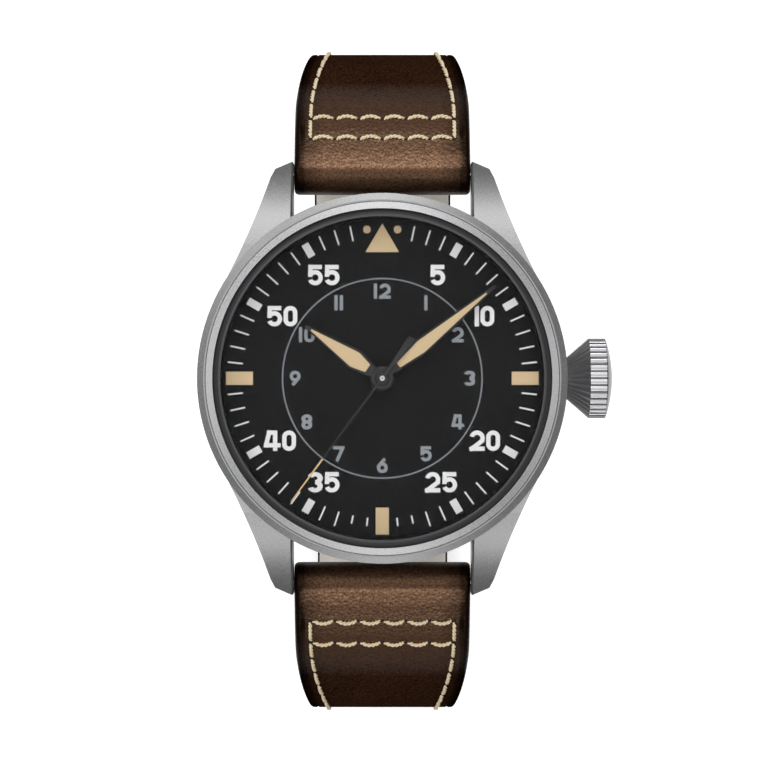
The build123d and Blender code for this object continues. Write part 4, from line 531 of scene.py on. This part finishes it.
def make_materials():
    """Every material by its short name."""
    return {
        "case": metal("case_steel", tone(163, 163, 164), 0.5, grain=0.16 * mm,
                      depth=0.01 * mm, speckle=0.16),
        "bezel": metal("bezel_steel", tone(176, 176, 177), 0.31, grain=0.16 * mm,
                       depth=0.006 * mm, speckle=0.1),
        # The crown's neck and dome tones are painted light and shade on one steel
        "crown": crown_metal("crown_steel", tone(196, 196, 198), tone(158, 158, 160),
                             tone(88, 88, 90), 0.28),
        "polished": metal("polished_steel", tone(190, 190, 192), 0.2, grain=0.2 * mm,
                          depth=0.0004 * mm, speckle=0.02),
        "crystal": glass("sapphire"),
        "seal": paint("seal_black", tone(54, 54, 55), 0.5),
        "flange": paint("flange_black", tone(24, 24, 25), 0.45),
        "plate": metal("plate_metal", tone(196, 192, 186), 0.32),
        "bridge": striped_metal("bridge_metal", tone(204, 201, 196), (0.22, 0.4)),
        "steel": brushed_metal("fine_steel", tone(196, 197, 199), 0.26, (1, 1, 0.1)),
        "wheel": circular_metal("wheel_steel", tone(198, 198, 200), 0.25, 0.36 * mm),
        "brass": metal("train_brass", tone(214, 176, 106), 0.28),
        "blued": metal("blued_steel", tone(28, 52, 128), 0.25),
        "ruby": ruby("ruby"),
        "rotor": circular_metal("rotor_metal", tone(184, 182, 178), 0.3, 0.4 * mm),
        "dial": paint("dial_black", tone(15, 15, 16), 0.6, grain=0.05 * mm, depth=0.001 * mm,
                      specular=0.1),
        "white": paint("print_white", tone(232, 232, 231), 0.6),
        "grey": paint("print_grey", tone(138, 143, 148), 0.5),
        "lume": paint("lume_beige", tone(210, 185, 145), 0.75, grain=0.07 * mm,
                      depth=0.004 * mm),
        "hand": paint("hand_black", tone(30, 30, 32), 0.4, specular=0.3),
        "seconds": seconds_paint("seconds_hand_paint", tone(40, 40, 42), tone(216, 186, 134),
                                 tone(176, 176, 178)),
        "tube": blackened_tube("tube_steel", tone(196, 197, 199), tone(30, 30, 32)),
        "leather": leather("leather_brown", tone(38, 22, 14), tone(58, 36, 23), 0.36),
        "leather_edge": paint("leather_edge", tone(34, 22, 16), 0.5, grain=0.3 * mm,
                              depth=0.02 * mm, variation=0.2),
        "lining": suede("lining_pale", tone(238, 231, 220), tone(250, 246, 238)),
        "thread": thread("thread_cream", tone(244, 226, 190)),
        # Painted shade: the dark inside of the needle holes
        "needle_hole_shade": paint("needle_hole_shade", tone(22, 14, 10), 0.8),
    }


def placed(name, data, looks=()):
    """A new object of the scene, from a mesh and its materials, or a lamp's or camera's data."""
    piece = bpy.data.objects.new(name, data)
    bpy.context.collection.objects.link(piece)
    for look in looks:
        data.materials.append(look)
    return piece


def meshed(name, mesh, looks=()):
    """The object made of an edited mesh."""
    data = bpy.data.meshes.new(name)
    mesh.to_mesh(data)
    mesh.free()
    return placed(name, data, looks)


def smooth_share(value, start, end):
    """A smooth share from nought to one between two values."""
    share = min(max((value - start) / (end - start), 0), 1)
    return share * share * (3 - 2 * share)


class StrapHalf:
    """The middle line, width and thickness of one half of the strap."""

    def __init__(self, first_run, side_run, length, end_thickness, tongue, side):
        self.first_run = first_run
        self.side_run = side_run
        self.length = length
        self.end_thickness = end_thickness
        self.tongue = tongue
        self.side = side
        bend = (bar_reach + first_run * cos(drop_angle), bar_height - first_run * sin(drop_angle))
        self.shoulder = (bend[0] - shoulder_radius * sin(drop_angle),
                         bend[1] - shoulder_radius * cos(drop_angle))
        self.side_reach = self.shoulder[0] + shoulder_radius
        self.heel = (self.side_reach - heel_radius, self.shoulder[1] - side_run)

    def middle(self, distance):
        """A point of the middle line in (reach, height), and its outward normal's angle."""
        lean = pi / 2 - drop_angle
        if distance <= self.first_run:
            return (bar_reach + distance * cos(drop_angle),
                    bar_height - distance * sin(drop_angle)), lean
        distance -= self.first_run
        shoulder_length = shoulder_radius * lean
        if distance <= shoulder_length:
            angle = lean - distance / shoulder_radius
            return (self.shoulder[0] + shoulder_radius * cos(angle),
                    self.shoulder[1] + shoulder_radius * sin(angle)), angle
        distance -= shoulder_length
        if distance <= self.side_run:
            return (self.side_reach, self.shoulder[1] - distance), 0
        distance -= self.side_run
        if distance <= heel_radius * pi / 2:
            angle = -distance / heel_radius
            return (self.heel[0] + heel_radius * cos(angle),
                    self.heel[1] + heel_radius * sin(angle)), angle
        distance -= heel_radius * pi / 2
        return (self.heel[0] - distance, self.heel[1] - heel_radius), -pi / 2

    def half_thickness(self, distance):
        """Half the strap's thickness at a length from the bar."""
        whole = root_thickness - (root_thickness - body_thickness) * smooth_share(
            distance, root_length, body_length)
        whole -= (body_thickness - self.end_thickness) * smooth_share(
            distance, body_length, self.length)
        return whole / 2

    def half_width(self, distance):
        """Half the strap's width at a length from the bar."""
        half = (strap_width - (strap_width - strap_end_width) * smooth_share(
            distance, taper_start, taper_end)) / 2
        tip_start = self.length - tip_length
        if self.tongue and distance > tip_start:
            share = (distance - tip_start) / tip_length
            half = tip_width / 2 + (half - tip_width / 2) * sqrt(max(1 - share ** 2, 0))
        return half

    def point(self, across, place, angle, offset):
        """A point in space from a place in (reach, height), a normal's angle and an offset."""
        reach = place[0] + offset * cos(angle)
        height = place[1] + offset * sin(angle)
        return Vector((across, self.side * reach, height))

    def surface(self, across, distance, lift=0):
        """A point on the outer surface, or lifted from it."""
        place, angle = self.middle(distance)
        return self.point(across, place, angle, self.half_thickness(distance) + lift)

    def normal(self, across, distance):
        """The outward normal of the outer surface."""
        return (self.surface(across, distance, mm) - self.surface(across, distance)).normalized()

    def ring(self, place, angle, low, high, half_width, crease=0, round_high=edge_round):
        """A layer's section, set across the middle line, as (point, on_edge) places."""
        section = layer_section(half_width, low, high, under_round, round_high, crease)
        return [(self.point(across, place, angle, offset), edge)
                for across, offset, edge in section]


def layer_section(half, low, high, round_low, round_high, crease):
    """The points round a layer's section, as (across, offset, whether it lies on an edge)."""
    points = []

    def corner(side, offset, radius, first):
        for number in range(corner_steps + 1):
            share = number / corner_steps
            angle = pi / 2 * (share if first else 1 - share)
            across = half - radius + radius * sin(angle)
            depth = radius * (1 - cos(angle))
            height = offset - depth if offset == high else offset + depth
            points.append((side * across, height, angle > edge_turn))

    def row(start, end, offset, first):
        for number in range(first, flat_parts + 1 - first):
            points.append((start + (end - start) * number / flat_parts, offset, False))

    def groove(centre):
        for share, dip in crease_profile:
            points.append((centre - share * crease_width / 2, high - dip * crease, False))

    corner(-1, low, round_low, True)
    corner(-1, high, round_high, False)
    inner = half - crease_inset
    flat = inner - crease_width
    groove(-inner)
    row(-flat, flat, high, 0)
    groove(inner)
    corner(1, high, round_high, True)
    corner(1, low, round_low, False)
    row(half - round_low, round_low - half, low, 1)
    return points


def fold_painted_shade(reach):
    """Painted shade over the fold at the bar, and in the hollow before the stitches."""
    beyond = reach - bar_reach
    crown = 1 - smooth_share(beyond, *fold_crown_shade_span)
    hollow = smooth_share(beyond, *hollow_start) * (1 - smooth_share(beyond, *hollow_end))
    return fold_crown_shade * crown + hollow_shade * hollow


def swept(name, sections, looks, band=False):
    """A mesh through rings of (point, on_edge) places: a layer with capped ends, burnished
    margins and painted shade over its fold, or a plain band whose last ring meets its first."""
    mesh = bmesh.new()
    burnish_and_shade = mesh.verts.layers.float.new("burnish_and_shade")
    rings = []
    for section in sections:
        ring = [mesh.verts.new(point) for point, _ in section]
        half = max(point.x for point, _ in section)
        for vertex in ring:
            margin = 1 - smooth_share(half - abs(vertex.co.x), burnish_start, burnish_end)
            # Burnished margin plus painted shade over the fold at the bar and in the hollow
            # before the stitches
            margin_and_painted_shade = min(margin + fold_painted_shade(abs(vertex.co.y)), 1)
            vertex[burnish_and_shade] = 0 if band else margin_and_painted_shade
        rings.append(ring)
    count = len(rings[0])
    for section, ring, after in zip(sections, rings, rings[1:] + rings[:1] * band):
        for number in range(count):
            beside = (number + 1) % count
            face = mesh.faces.new((ring[number], ring[beside], after[beside], after[number]))
            face.material_index = 1 if section[number][1] and section[beside][1] else 0
            face.smooth = True
    if not band:
        for ring in (rings[0], rings[-1]):
            mesh.faces.new(ring).material_index = 1
    bmesh.ops.recalc_face_normals(mesh, faces=mesh.faces)
    return meshed(name, mesh, looks)


def leather_sections(half):
    """Rings of a folded leather: top from its end to the bar, round the bar, and back under."""
    def under_top(distance):
        near_bar = bore * (1 - smooth_share(distance, 0, fold_meet))
        seam = lining_thickness - half.half_thickness(distance)
        share = smooth_share(distance, lining_start, lining_start + seam_run)
        if not half.tongue:
            fold_end = half.length - buckle_fold_length
            near_bar += bore * smooth_share(distance, half.length - fold_meet, half.length)
            share *= 1 - smooth_share(distance, fold_end - seam_run, fold_end)
        return near_bar + (seam - near_bar) * share

    sections = [] if half.tongue else buckle_fold(half)
    count = int(half.length / station_step)
    for number in range(count, -1, -1):
        distance = half.length * number / count
        place, angle = half.middle(distance)
        high = half.half_thickness(distance)
        if half.tongue:
            ending = min((half.length - distance) / edge_round, 1)
            high -= edge_round * (1 - sqrt(1 - (1 - ending) ** 2))
        crease = crease_depth * smooth_share(distance, crease_start - mm, crease_start + mm)
        sections.append(half.ring(place, angle, under_top(distance), high,
                                  half.half_width(distance), crease))
    for number in range(1, fold_steps):
        angle = pi / 2 - drop_angle + pi * number / fold_steps
        high = fold_radius + (root_thickness / 2 - fold_radius) * abs(
            cos(pi * number / fold_steps))
        sections.append(half.ring((bar_reach, bar_height), angle, bore, high,
                                  half.half_width(0)))
    count = int(lining_start / station_step)
    for number in range(count + 1):
        distance = lining_start * number / count
        place, angle = half.middle(distance)
        low = bore + (sheet_gap - bore) * smooth_share(distance, 0, fold_meet)
        sections.append(half.ring(place, angle + pi, low, half.half_thickness(distance),
                                  half.half_width(distance)))
    return sections


def buckle_fold(half):
    """Rings of the leather folded round the buckle's bar, from its hidden end to the strap's."""
    end, angle = half.middle(half.length)
    centre = (end[0] - buckle_offset, end[1])
    half_width = half.half_width(half.length)
    sections = []
    for number in range(buckle_back_steps + 1):
        share = number / buckle_back_steps
        distance = half.length - buckle_fold_length * (1 - share)
        place, lean = half.middle(distance)
        thickness = half.half_thickness(distance)
        low = sheet_gap + (bore - sheet_gap) * smooth_share(
            distance, half.length - fold_meet, half.length)
        high = thickness + (buckle_fold_radius - thickness) * share
        sections.append(half.ring(place, lean + pi, low, high, half_width))
    for number in range(buckle_fold_steps + 1):
        turn = angle + pi + pi * number / buckle_fold_steps
        sections.append(half.ring(centre, turn, bore, buckle_fold_radius, half_width))
    return sections


def lining_sections(half):
    """Rings of the lining, from the spring bar's fold to the tip or to the buckle's fold."""
    sections = []
    end = half.length - (buckle_fold_length if not half.tongue else 0)
    count = int((end - lining_start) / station_step)
    for number in range(count + 1):
        distance = lining_start + (end - lining_start) * number / count
        place, angle = half.middle(distance)
        low = -half.half_thickness(distance)
        sections.append(half.ring(place, angle, low, low + lining_thickness,
                                  half.half_width(distance) - lining_inset,
                                  round_high=lining_round))
    return sections


def bake_modifiers(piece):
    """Replaces a piece's mesh by what its modifiers make of it."""
    bpy.context.view_layer.update()
    graph = bpy.context.evaluated_depsgraph_get()
    data = bpy.data.meshes.new_from_object(piece.evaluated_get(graph))
    piece.modifiers.clear()
    piece.data = data


def cut(piece, cutters):
    """Takes closed cutters away from a piece, with the exact solver, and removes them."""
    for cutter in cutters:
        modifier = piece.modifiers.new("cut", "BOOLEAN")
        modifier.operation = "DIFFERENCE"
        modifier.solver = "EXACT"
        modifier.object = cutter
    bake_modifiers(piece)
    for cutter in cutters:
        bpy.data.objects.remove(cutter)


def hole_cutters(half):
    """Closed cylinders for the tang's holes in the long half."""
    cutters = []
    for number in range(hole_count):
        distance = half.length - first_hole - number * hole_pitch
        place, angle = half.middle(distance)
        centre = half.point(0, place, angle, 0)
        direction = half.point(0, place, angle, mm) - centre
        mesh = bmesh.new()
        bmesh.ops.create_cone(mesh, cap_ends=True, segments=hole_sides, radius1=hole_radius,
                              radius2=hole_radius, depth=2 * root_thickness)
        cutter = meshed("cutter", mesh)
        cutter.matrix_world = Matrix.LocRotScale(centre, direction.to_track_quat("Z", "Y"), None)
        cutters.append(cutter)
    return cutters


def slot_cutter(half):
    """A closed box for the slot that the tang swings through."""
    end, _ = half.middle(half.length)
    centre = end[0] - buckle_offset
    low = Vector((-tang_slot_width / 2, centre - buckle_fold_radius - mm,
                  end[1] - root_thickness))
    high = Vector((tang_slot_width / 2, centre + tang_slot_length, end[1] + root_thickness))
    mesh = bmesh.new()
    box_matrix = Matrix.LocRotScale((low + high) / 2, None, high - low)
    bmesh.ops.create_cube(mesh, size=1, matrix=box_matrix)
    return meshed("cutter", mesh)


def strap_half(name, half, materials):
    """The leather and the lining of one half, on its body, in place of their CAD nodes."""
    body = f"strap_{name}"
    edge = materials["leather_edge"]
    leather_piece = swept(f"{body}_outer", leather_sections(half), (materials["leather"], edge))
    lining_piece = swept(f"{body}_inner", lining_sections(half), (materials["lining"], edge))
    if half.tongue:
        cut(leather_piece, hole_cutters(half))
        cut(lining_piece, hole_cutters(half))
    else:
        cut(leather_piece, [slot_cutter(half)])
    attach(leather_piece, body)
    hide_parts(f"{body}_leather")
    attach(lining_piece, body)
    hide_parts(f"{body}_lining")


def keeper(name, node, body, materials):
    """A leather keeper: a band round the strap, with creased and painted edges."""
    low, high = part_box(node)
    middle = (low + high) / 2
    half_x = (high.x - low.x - keeper_wall) / 2 - keeper_corner
    half_z = (high.z - low.z - keeper_wall) / 2 - keeper_corner
    section = layer_section((high.y - low.y) / 2, -keeper_wall / 2, keeper_wall / 2,
                            under_round, keeper_round, crease_depth)
    sections = []
    for corner, (side_x, side_z) in enumerate(((1, 1), (-1, 1), (-1, -1), (1, -1))):
        for number in range(keeper_steps + 1):
            angle = pi / 2 * (corner + number / keeper_steps)
            sections.append([
                (middle + Vector((side_x * half_x + (keeper_corner + offset) * cos(angle), across,
                                  side_z * half_z + (keeper_corner + offset) * sin(angle))), edge)
                for across, offset, edge in section])
    piece = swept(name, sections, (materials["leather"], materials["leather_edge"]), band=True)
    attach(piece, body)
    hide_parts(node)


class Stitches:
    """The vertices and faces of the stitching of one half."""

    def __init__(self, half):
        self.half = half
        self.points = []
        self.faces = []
        self.slots = []

    def rings(self, first, sides, count, slot):
        """Faces between rings of points, and the two caps."""
        for low in range(first, first + (count - 1) * sides, sides):
            for turn in range(sides):
                following = (turn + 1) % sides
                self.faces.append((low + turn, low + following, low + sides + following,
                                   low + sides + turn))
        last = first + (count - 1) * sides
        self.faces.append(tuple(reversed(range(first, first + sides))))
        self.faces.append(tuple(range(last, last + sides)))
        self.slots += [slot] * ((count - 1) * sides + 2)

    def tube(self, places, normals):
        """One strand through places; a normal steadies each ring."""
        first = len(self.points)
        for number, (place, normal) in enumerate(zip(places, normals)):
            along = heading(places, number)
            side = along.cross(normal).normalized()
            upward = side.cross(along)
            for turn in range(strand_sides):
                angle = 2 * pi * turn / strand_sides
                self.points.append(
                    place + strand_radius * (cos(angle) * side + sin(angle) * upward))
        self.rings(first, strand_sides, len(places), 0)

    def needle_hole_shade(self, place, normal, along):
        """A low closed mound, painted dark as the shade inside a needle's hole."""
        side = along.cross(normal).normalized()
        first = len(self.points)
        for lift, share in needle_profile:
            for turn in range(needle_sides):
                angle = 2 * pi * turn / needle_sides
                self.points.append(place + lift * normal + share * needle_radius * (
                    cos(angle) * along + needle_narrowing * sin(angle) * side))
        self.rings(first, needle_sides, len(needle_profile), 1)

    def stitch(self, start, end, bow):
        """One stitch of two twisted strands between two needle holes, (across, distance)."""
        middle_places = []
        normals = []
        for number in range(stitch_steps + 1):
            arch = sin(pi * number / stitch_steps)
            share = stitch_gap + (1 - 2 * stitch_gap) * number / stitch_steps
            across, distance = [low + (high - low) * share for low, high in zip(start, end)]
            distance += bow * arch
            lift = stitch_rise * arch ** stitch_fullness - stitch_sink
            middle_places.append(self.half.surface(across, distance, lift))
            normals.append(self.half.normal(across, distance))
        for strand in range(2):
            places = []
            for number, (place, normal) in enumerate(zip(middle_places, normals)):
                side = heading(middle_places, number).cross(normal).normalized()
                turn = 2 * pi * (stitch_turns * number / stitch_steps + strand / 2)
                places.append(place + strand_offset * (cos(turn) * side + sin(turn) * normal))
            self.tube(places, normals)

    def line(self, places, bow=0):
        """Stitches between following places, with a needle's hole at each."""
        for start, end in zip(places[:-1], places[1:]):
            self.stitch(start, end, bow)
        for number, place in enumerate(places):
            beside = places[number + 1] if number + 1 < len(places) else places[number - 1]
            centre = self.half.surface(*place)
            along = (self.half.surface(*beside) - centre).normalized()
            self.needle_hole_shade(centre, self.half.normal(*place), along)

    def piece(self, name, looks):
        """The object made of the gathered faces."""
        data = bpy.data.meshes.new(name)
        data.from_pydata(self.points, [], self.faces)
        for polygon, slot in zip(data.polygons, self.slots):
            polygon.material_index = slot
            polygon.use_smooth = True
        data.update()
        return placed(name, data, looks)


def heading(places, number):
    """The direction along a row of places at one of them."""
    return (places[min(number + 1, len(places) - 1)] - places[max(number - 1, 0)]).normalized()


def margin_at(distance):
    """The side rows' place inside the edge, which grows a little along the strap."""
    return side_margin + side_margin_growth * smooth_share(distance, *side_margin_span)


def cross_places(distance, half_across):
    """The needle holes of a row across the strap."""
    return [(half_across * (2 * number / cross_count - 1), distance)
            for number in range(cross_count + 1)]


def tongue_places(half, start):
    """The needle holes round the tongue, from one side row's end to the other's."""
    across_end = half.half_width(start) - margin_at(start)
    depth = half.length - side_margin - margin_at(start) * tongue_margin_share - start
    return [(across_end * cos(pi * number / tongue_stitches),
             start + depth * sin(pi * number / tongue_stitches))
            for number in range(tongue_stitches + 1)]


def strap_stitches(name, half, rows, end, materials):
    """All the stitching of one half: rows across, side rows to an end, and round the tongue."""
    stitches = Stitches(half)
    near, far = rows
    for distance in rows:
        stitches.line(cross_places(distance, cross_half_width), cross_bow)
    if not half.tongue:
        stitches.line(cross_places(end, half.half_width(end) - margin_at(end)))
    count = round((end - far) / side_pitch)
    for side in (-1, 1):
        edge_across = half.half_width(near) - margin_at(near)
        stitches.line([(side * edge_across, near), (side * edge_across, far)])
        distances = [far + (end - far) * number / count for number in range(count + 1)]
        stitches.line([(side * (half.half_width(distance) - margin_at(distance)), distance)
                       for distance in distances])
    if half.tongue:
        stitches.line(tongue_places(half, end))
    piece = stitches.piece(f"strap_{name}_stitches",
                           [materials["thread"], materials["needle_hole_shade"]])
    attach(piece, f"strap_{name}")


node_looks = {
    "case": ("case_middle", "case_back"),
    "bezel": ("bezel",),
    "crown": ("crown",),
    "polished": ("crown_tube", "buckle_frame", "buckle_tang", "buckle_bar"),
    "crystal": ("crystal", "case_back_window"),
    "seal": ("gaskets",),
    "flange": ("flange_ring",),
    "plate": ("movement_ring", "main_plate"),
    "bridge": ("barrel_bridge", "train_bridge", "balance_cock", "pallet_bridge",
               "automatic_bridge"),
    "steel": ("winding_stem", "winding_pinion", "sliding_pinion", "setting_lever", "click",
              "barrel_arbor", "rotor_bearing", "escape_wheel", "pallet_fork", "mainspring",
              "spring_bars"),
    "tube": ("cannon_pinion",),
    "wheel": ("ratchet_wheel", "crown_wheel"),
    "brass": ("barrel", "centre_wheel", "third_wheel", "fourth_wheel", "balance_wheel",
              "reversing_wheel", "minute_wheel", "hour_wheel"),
    "blued": ("bridge_screws", "hairspring"),
    "ruby": ("jewels",),
    "rotor": ("rotor",),
    "dial": ("dial",),
    "white": ("minute_scale",),
    "grey": ("hour_scale",),
    "lume": ("lume_markers", "hour_hand_lume", "minute_hand_lume"),
    "hand": ("hour_hand", "minute_hand"),
    "seconds": ("seconds_hand",),
}


def dress_nodes(materials):
    """Gives every shown CAD node its material."""
    for look, names in node_looks.items():
        for name in names:
            node = frame["nodes"][name]
            if not node.data.materials:
                node.data.materials.append(materials[look])
            for slot in node.material_slots:
                slot.material = materials[look]


bevelled_nodes = (
    ("hour_hand", "hour", "hand_black", "hand", hand_bevel),
    ("minute_hand", "minute", "hand_black", "hand", hand_bevel),
    ("seconds_hand", "seconds", "hand_black", "seconds", fine_bevel),
    ("hour_hand_lume", "hour", "lume_beige", "lume", fine_bevel),
    ("minute_hand_lume", "minute", "lume_beige", "lume", fine_bevel),
    ("lume_markers", "case", "lume_beige", "lume", fine_bevel),
)


def bevelled(name, body, material, width):
    """A copy of a CAD node with small bevels along its sharp edges, in the node's place."""
    source = frame["nodes"][name]
    data = source.data.copy()
    piece = placed(f"{name}_bevelled", data)
    piece.matrix_world = source.matrix_world.copy()
    mesh = bmesh.new()
    mesh.from_mesh(data)
    bmesh.ops.remove_doubles(mesh, verts=mesh.verts, dist=weld_gap)
    bmesh.ops.dissolve_limit(mesh, angle_limit=flat_angle, verts=mesh.verts, edges=mesh.edges)
    mesh.to_mesh(data)
    mesh.free()
    modifier = piece.modifiers.new("bevel", "BEVEL")
    modifier.width = width
    modifier.segments = 2
    modifier.limit_method = "ANGLE"
    modifier.angle_limit = bevel_angle
    bake_modifiers(piece)
    piece.data.materials.clear()
    piece.data.materials.append(material)
    for polygon in piece.data.polygons:
        polygon.material_index = 0
    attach(piece, body)
    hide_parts(name)


def seen_white(tree):
    """The share of rays that see the plain white: the camera's, mirrors' and glass's."""
    path = tree.nodes.new("ShaderNodeLightPath").outputs
    reflected = maths(tree, path["Is Camera Ray"], path["Is Glossy Ray"], "MAXIMUM")
    return maths(tree, reflected, path["Is Transmission Ray"], "MAXIMUM")


def floor():
    """A pale floor under the strap that grows darker outside the picture."""
    bpy.ops.mesh.primitive_plane_add(size=floor_size,
                                     location=(0, 0, floor_height - stitch_room))
    piece = bpy.context.object
    piece.name = "floor"
    material, tree = new_material("floor_white")
    squares = [maths(tree, axis, axis) for axis in axes(tree)[:2]]
    fourths = maths(tree, *[maths(tree, square, square) for square in squares], "ADD")
    outward = maths(tree, fourths, 0.25, "POWER")
    share = ranged(tree, outward, floor_near, floor_far, 1.0, 0.0)
    dressed(material, {
        "Base Color": between(tree, share, floor_far_tone, floor_tone, 0, 1),
        "Roughness": 0.9, "Specular IOR Level": 0.0})
    whiteness = maths(tree, seen_white(tree), floor_glow)
    glow = add(tree, "ShaderNodeEmission", {
        "Color": (1, 1, 1), "Strength": maths(tree, share, whiteness)})
    both = add(tree, "ShaderNodeAddShader", {
        0: tree.nodes["Principled BSDF"].outputs["BSDF"], 1: glow.outputs["Emission"]})
    put_all(tree, tree.nodes["Material Output"], {"Surface": both.outputs["Shader"]})
    piece.data.materials.append(material)


def world():
    """Studio surroundings: soft light overhead and in four broad petals, a dark horizon."""
    surrounding = bpy.data.worlds.new("surrounding")
    bpy.context.scene.world = surrounding
    surrounding.use_nodes = True
    tree = surrounding.node_tree
    x, y, z = axes(tree, "Generated")
    x_square = maths(tree, x, x)
    y_square = maths(tree, y, y)
    outward = maths(tree, x_square, y_square, "ADD")
    crossed = maths(tree, maths(tree, x_square, y_square), 4.0)
    apart = maths(tree, maths(tree, outward, outward), least_outward, "ADD")
    diagonal = maths(tree, crossed, apart, "DIVIDE")
    grown = maths(tree, maths(tree, outward, petal_growth), 1.0, "MINIMUM")
    dimmed = maths(tree, maths(tree, diagonal, grown), petal_depth)
    sideways = maths(tree, x_square, maths(tree, outward, least_outward, "ADD"), "DIVIDE")
    lowered = maths(tree, maths(tree, outward, side_petal_growth), 1.0, "MINIMUM")
    narrowed = maths(tree, maths(tree, sideways, lowered), side_petal_dim)
    petals = maths(tree, maths(tree, 1.0, dimmed, "SUBTRACT"),
                   maths(tree, 1.0, narrowed, "SUBTRACT"))
    upper_left = maths(tree, y, x, "SUBTRACT")
    tilt = maths(tree, maths(tree, upper_left, upper_left_share), 1.0, "ADD")
    put_all(tree, tree.nodes["Background"], {
        "Color": ramp(tree, z, world_stops),
        "Strength": maths(tree, maths(tree, petals, tilt), world_strength)})


def area_lamp(name, place, size, power):
    """A square soft lamp that looks at the origin."""
    data = bpy.data.lights.new(name, "AREA")
    data.shape = "SQUARE"
    data.size = size
    data.energy = power
    lamp = placed(name, data)
    lamp.location = place
    lamp.rotation_euler = (-Vector(place)).to_track_quat("-Z", "Y").to_euler()


def camera():
    """The camera high over the dial, looking straight down, with twelve o'clock up."""
    data = bpy.data.cameras.new("camera")
    data.sensor_width = sensor_width
    data.lens = sensor_width * camera_distance / (photo_size / photo_scale)
    data.clip_start = 0.01
    data.clip_end = 10
    piece = placed("camera", data)
    piece.location = ((photo_size / 2 - dial_photo_x) / photo_scale,
                      -(photo_size / 2 - dial_photo_y) / photo_scale,
                      dial_top + camera_distance)
    bpy.context.scene.camera = piece


materials = make_materials()
dress_nodes(materials)
short_length = (short_first_run + shoulder_radius * (pi / 2 - drop_angle) + short_side_run
                + heel_radius * pi / 2 + short_flat_run)
short_half = StrapHalf(short_first_run, short_side_run, short_length, short_end_thickness,
                       False, 1)
long_half = StrapHalf(long_first_run, long_side_run, long_length, tail_thickness, True, -1)
strap_half("top", short_half, materials)
strap_half("bottom", long_half, materials)
strap_stitches("top", short_half, top_rows, short_length - buckle_row, materials)
strap_stitches("bottom", long_half, bottom_rows, long_length - tip_length, materials)
keeper("fixed_keeper_band", "fixed_keeper", "strap_top", materials)
keeper("free_keeper_band", "free_keeper", "keeper", materials)
for node_name, body_name, slot_name, look, width in bevelled_nodes:
    bevelled(node_name, body_name, materials[look], width)
floor()
world()
for lamp in lamps:
    area_lamp(*lamp)
camera()
bpy.context.scene.view_settings.view_transform = "Standard"
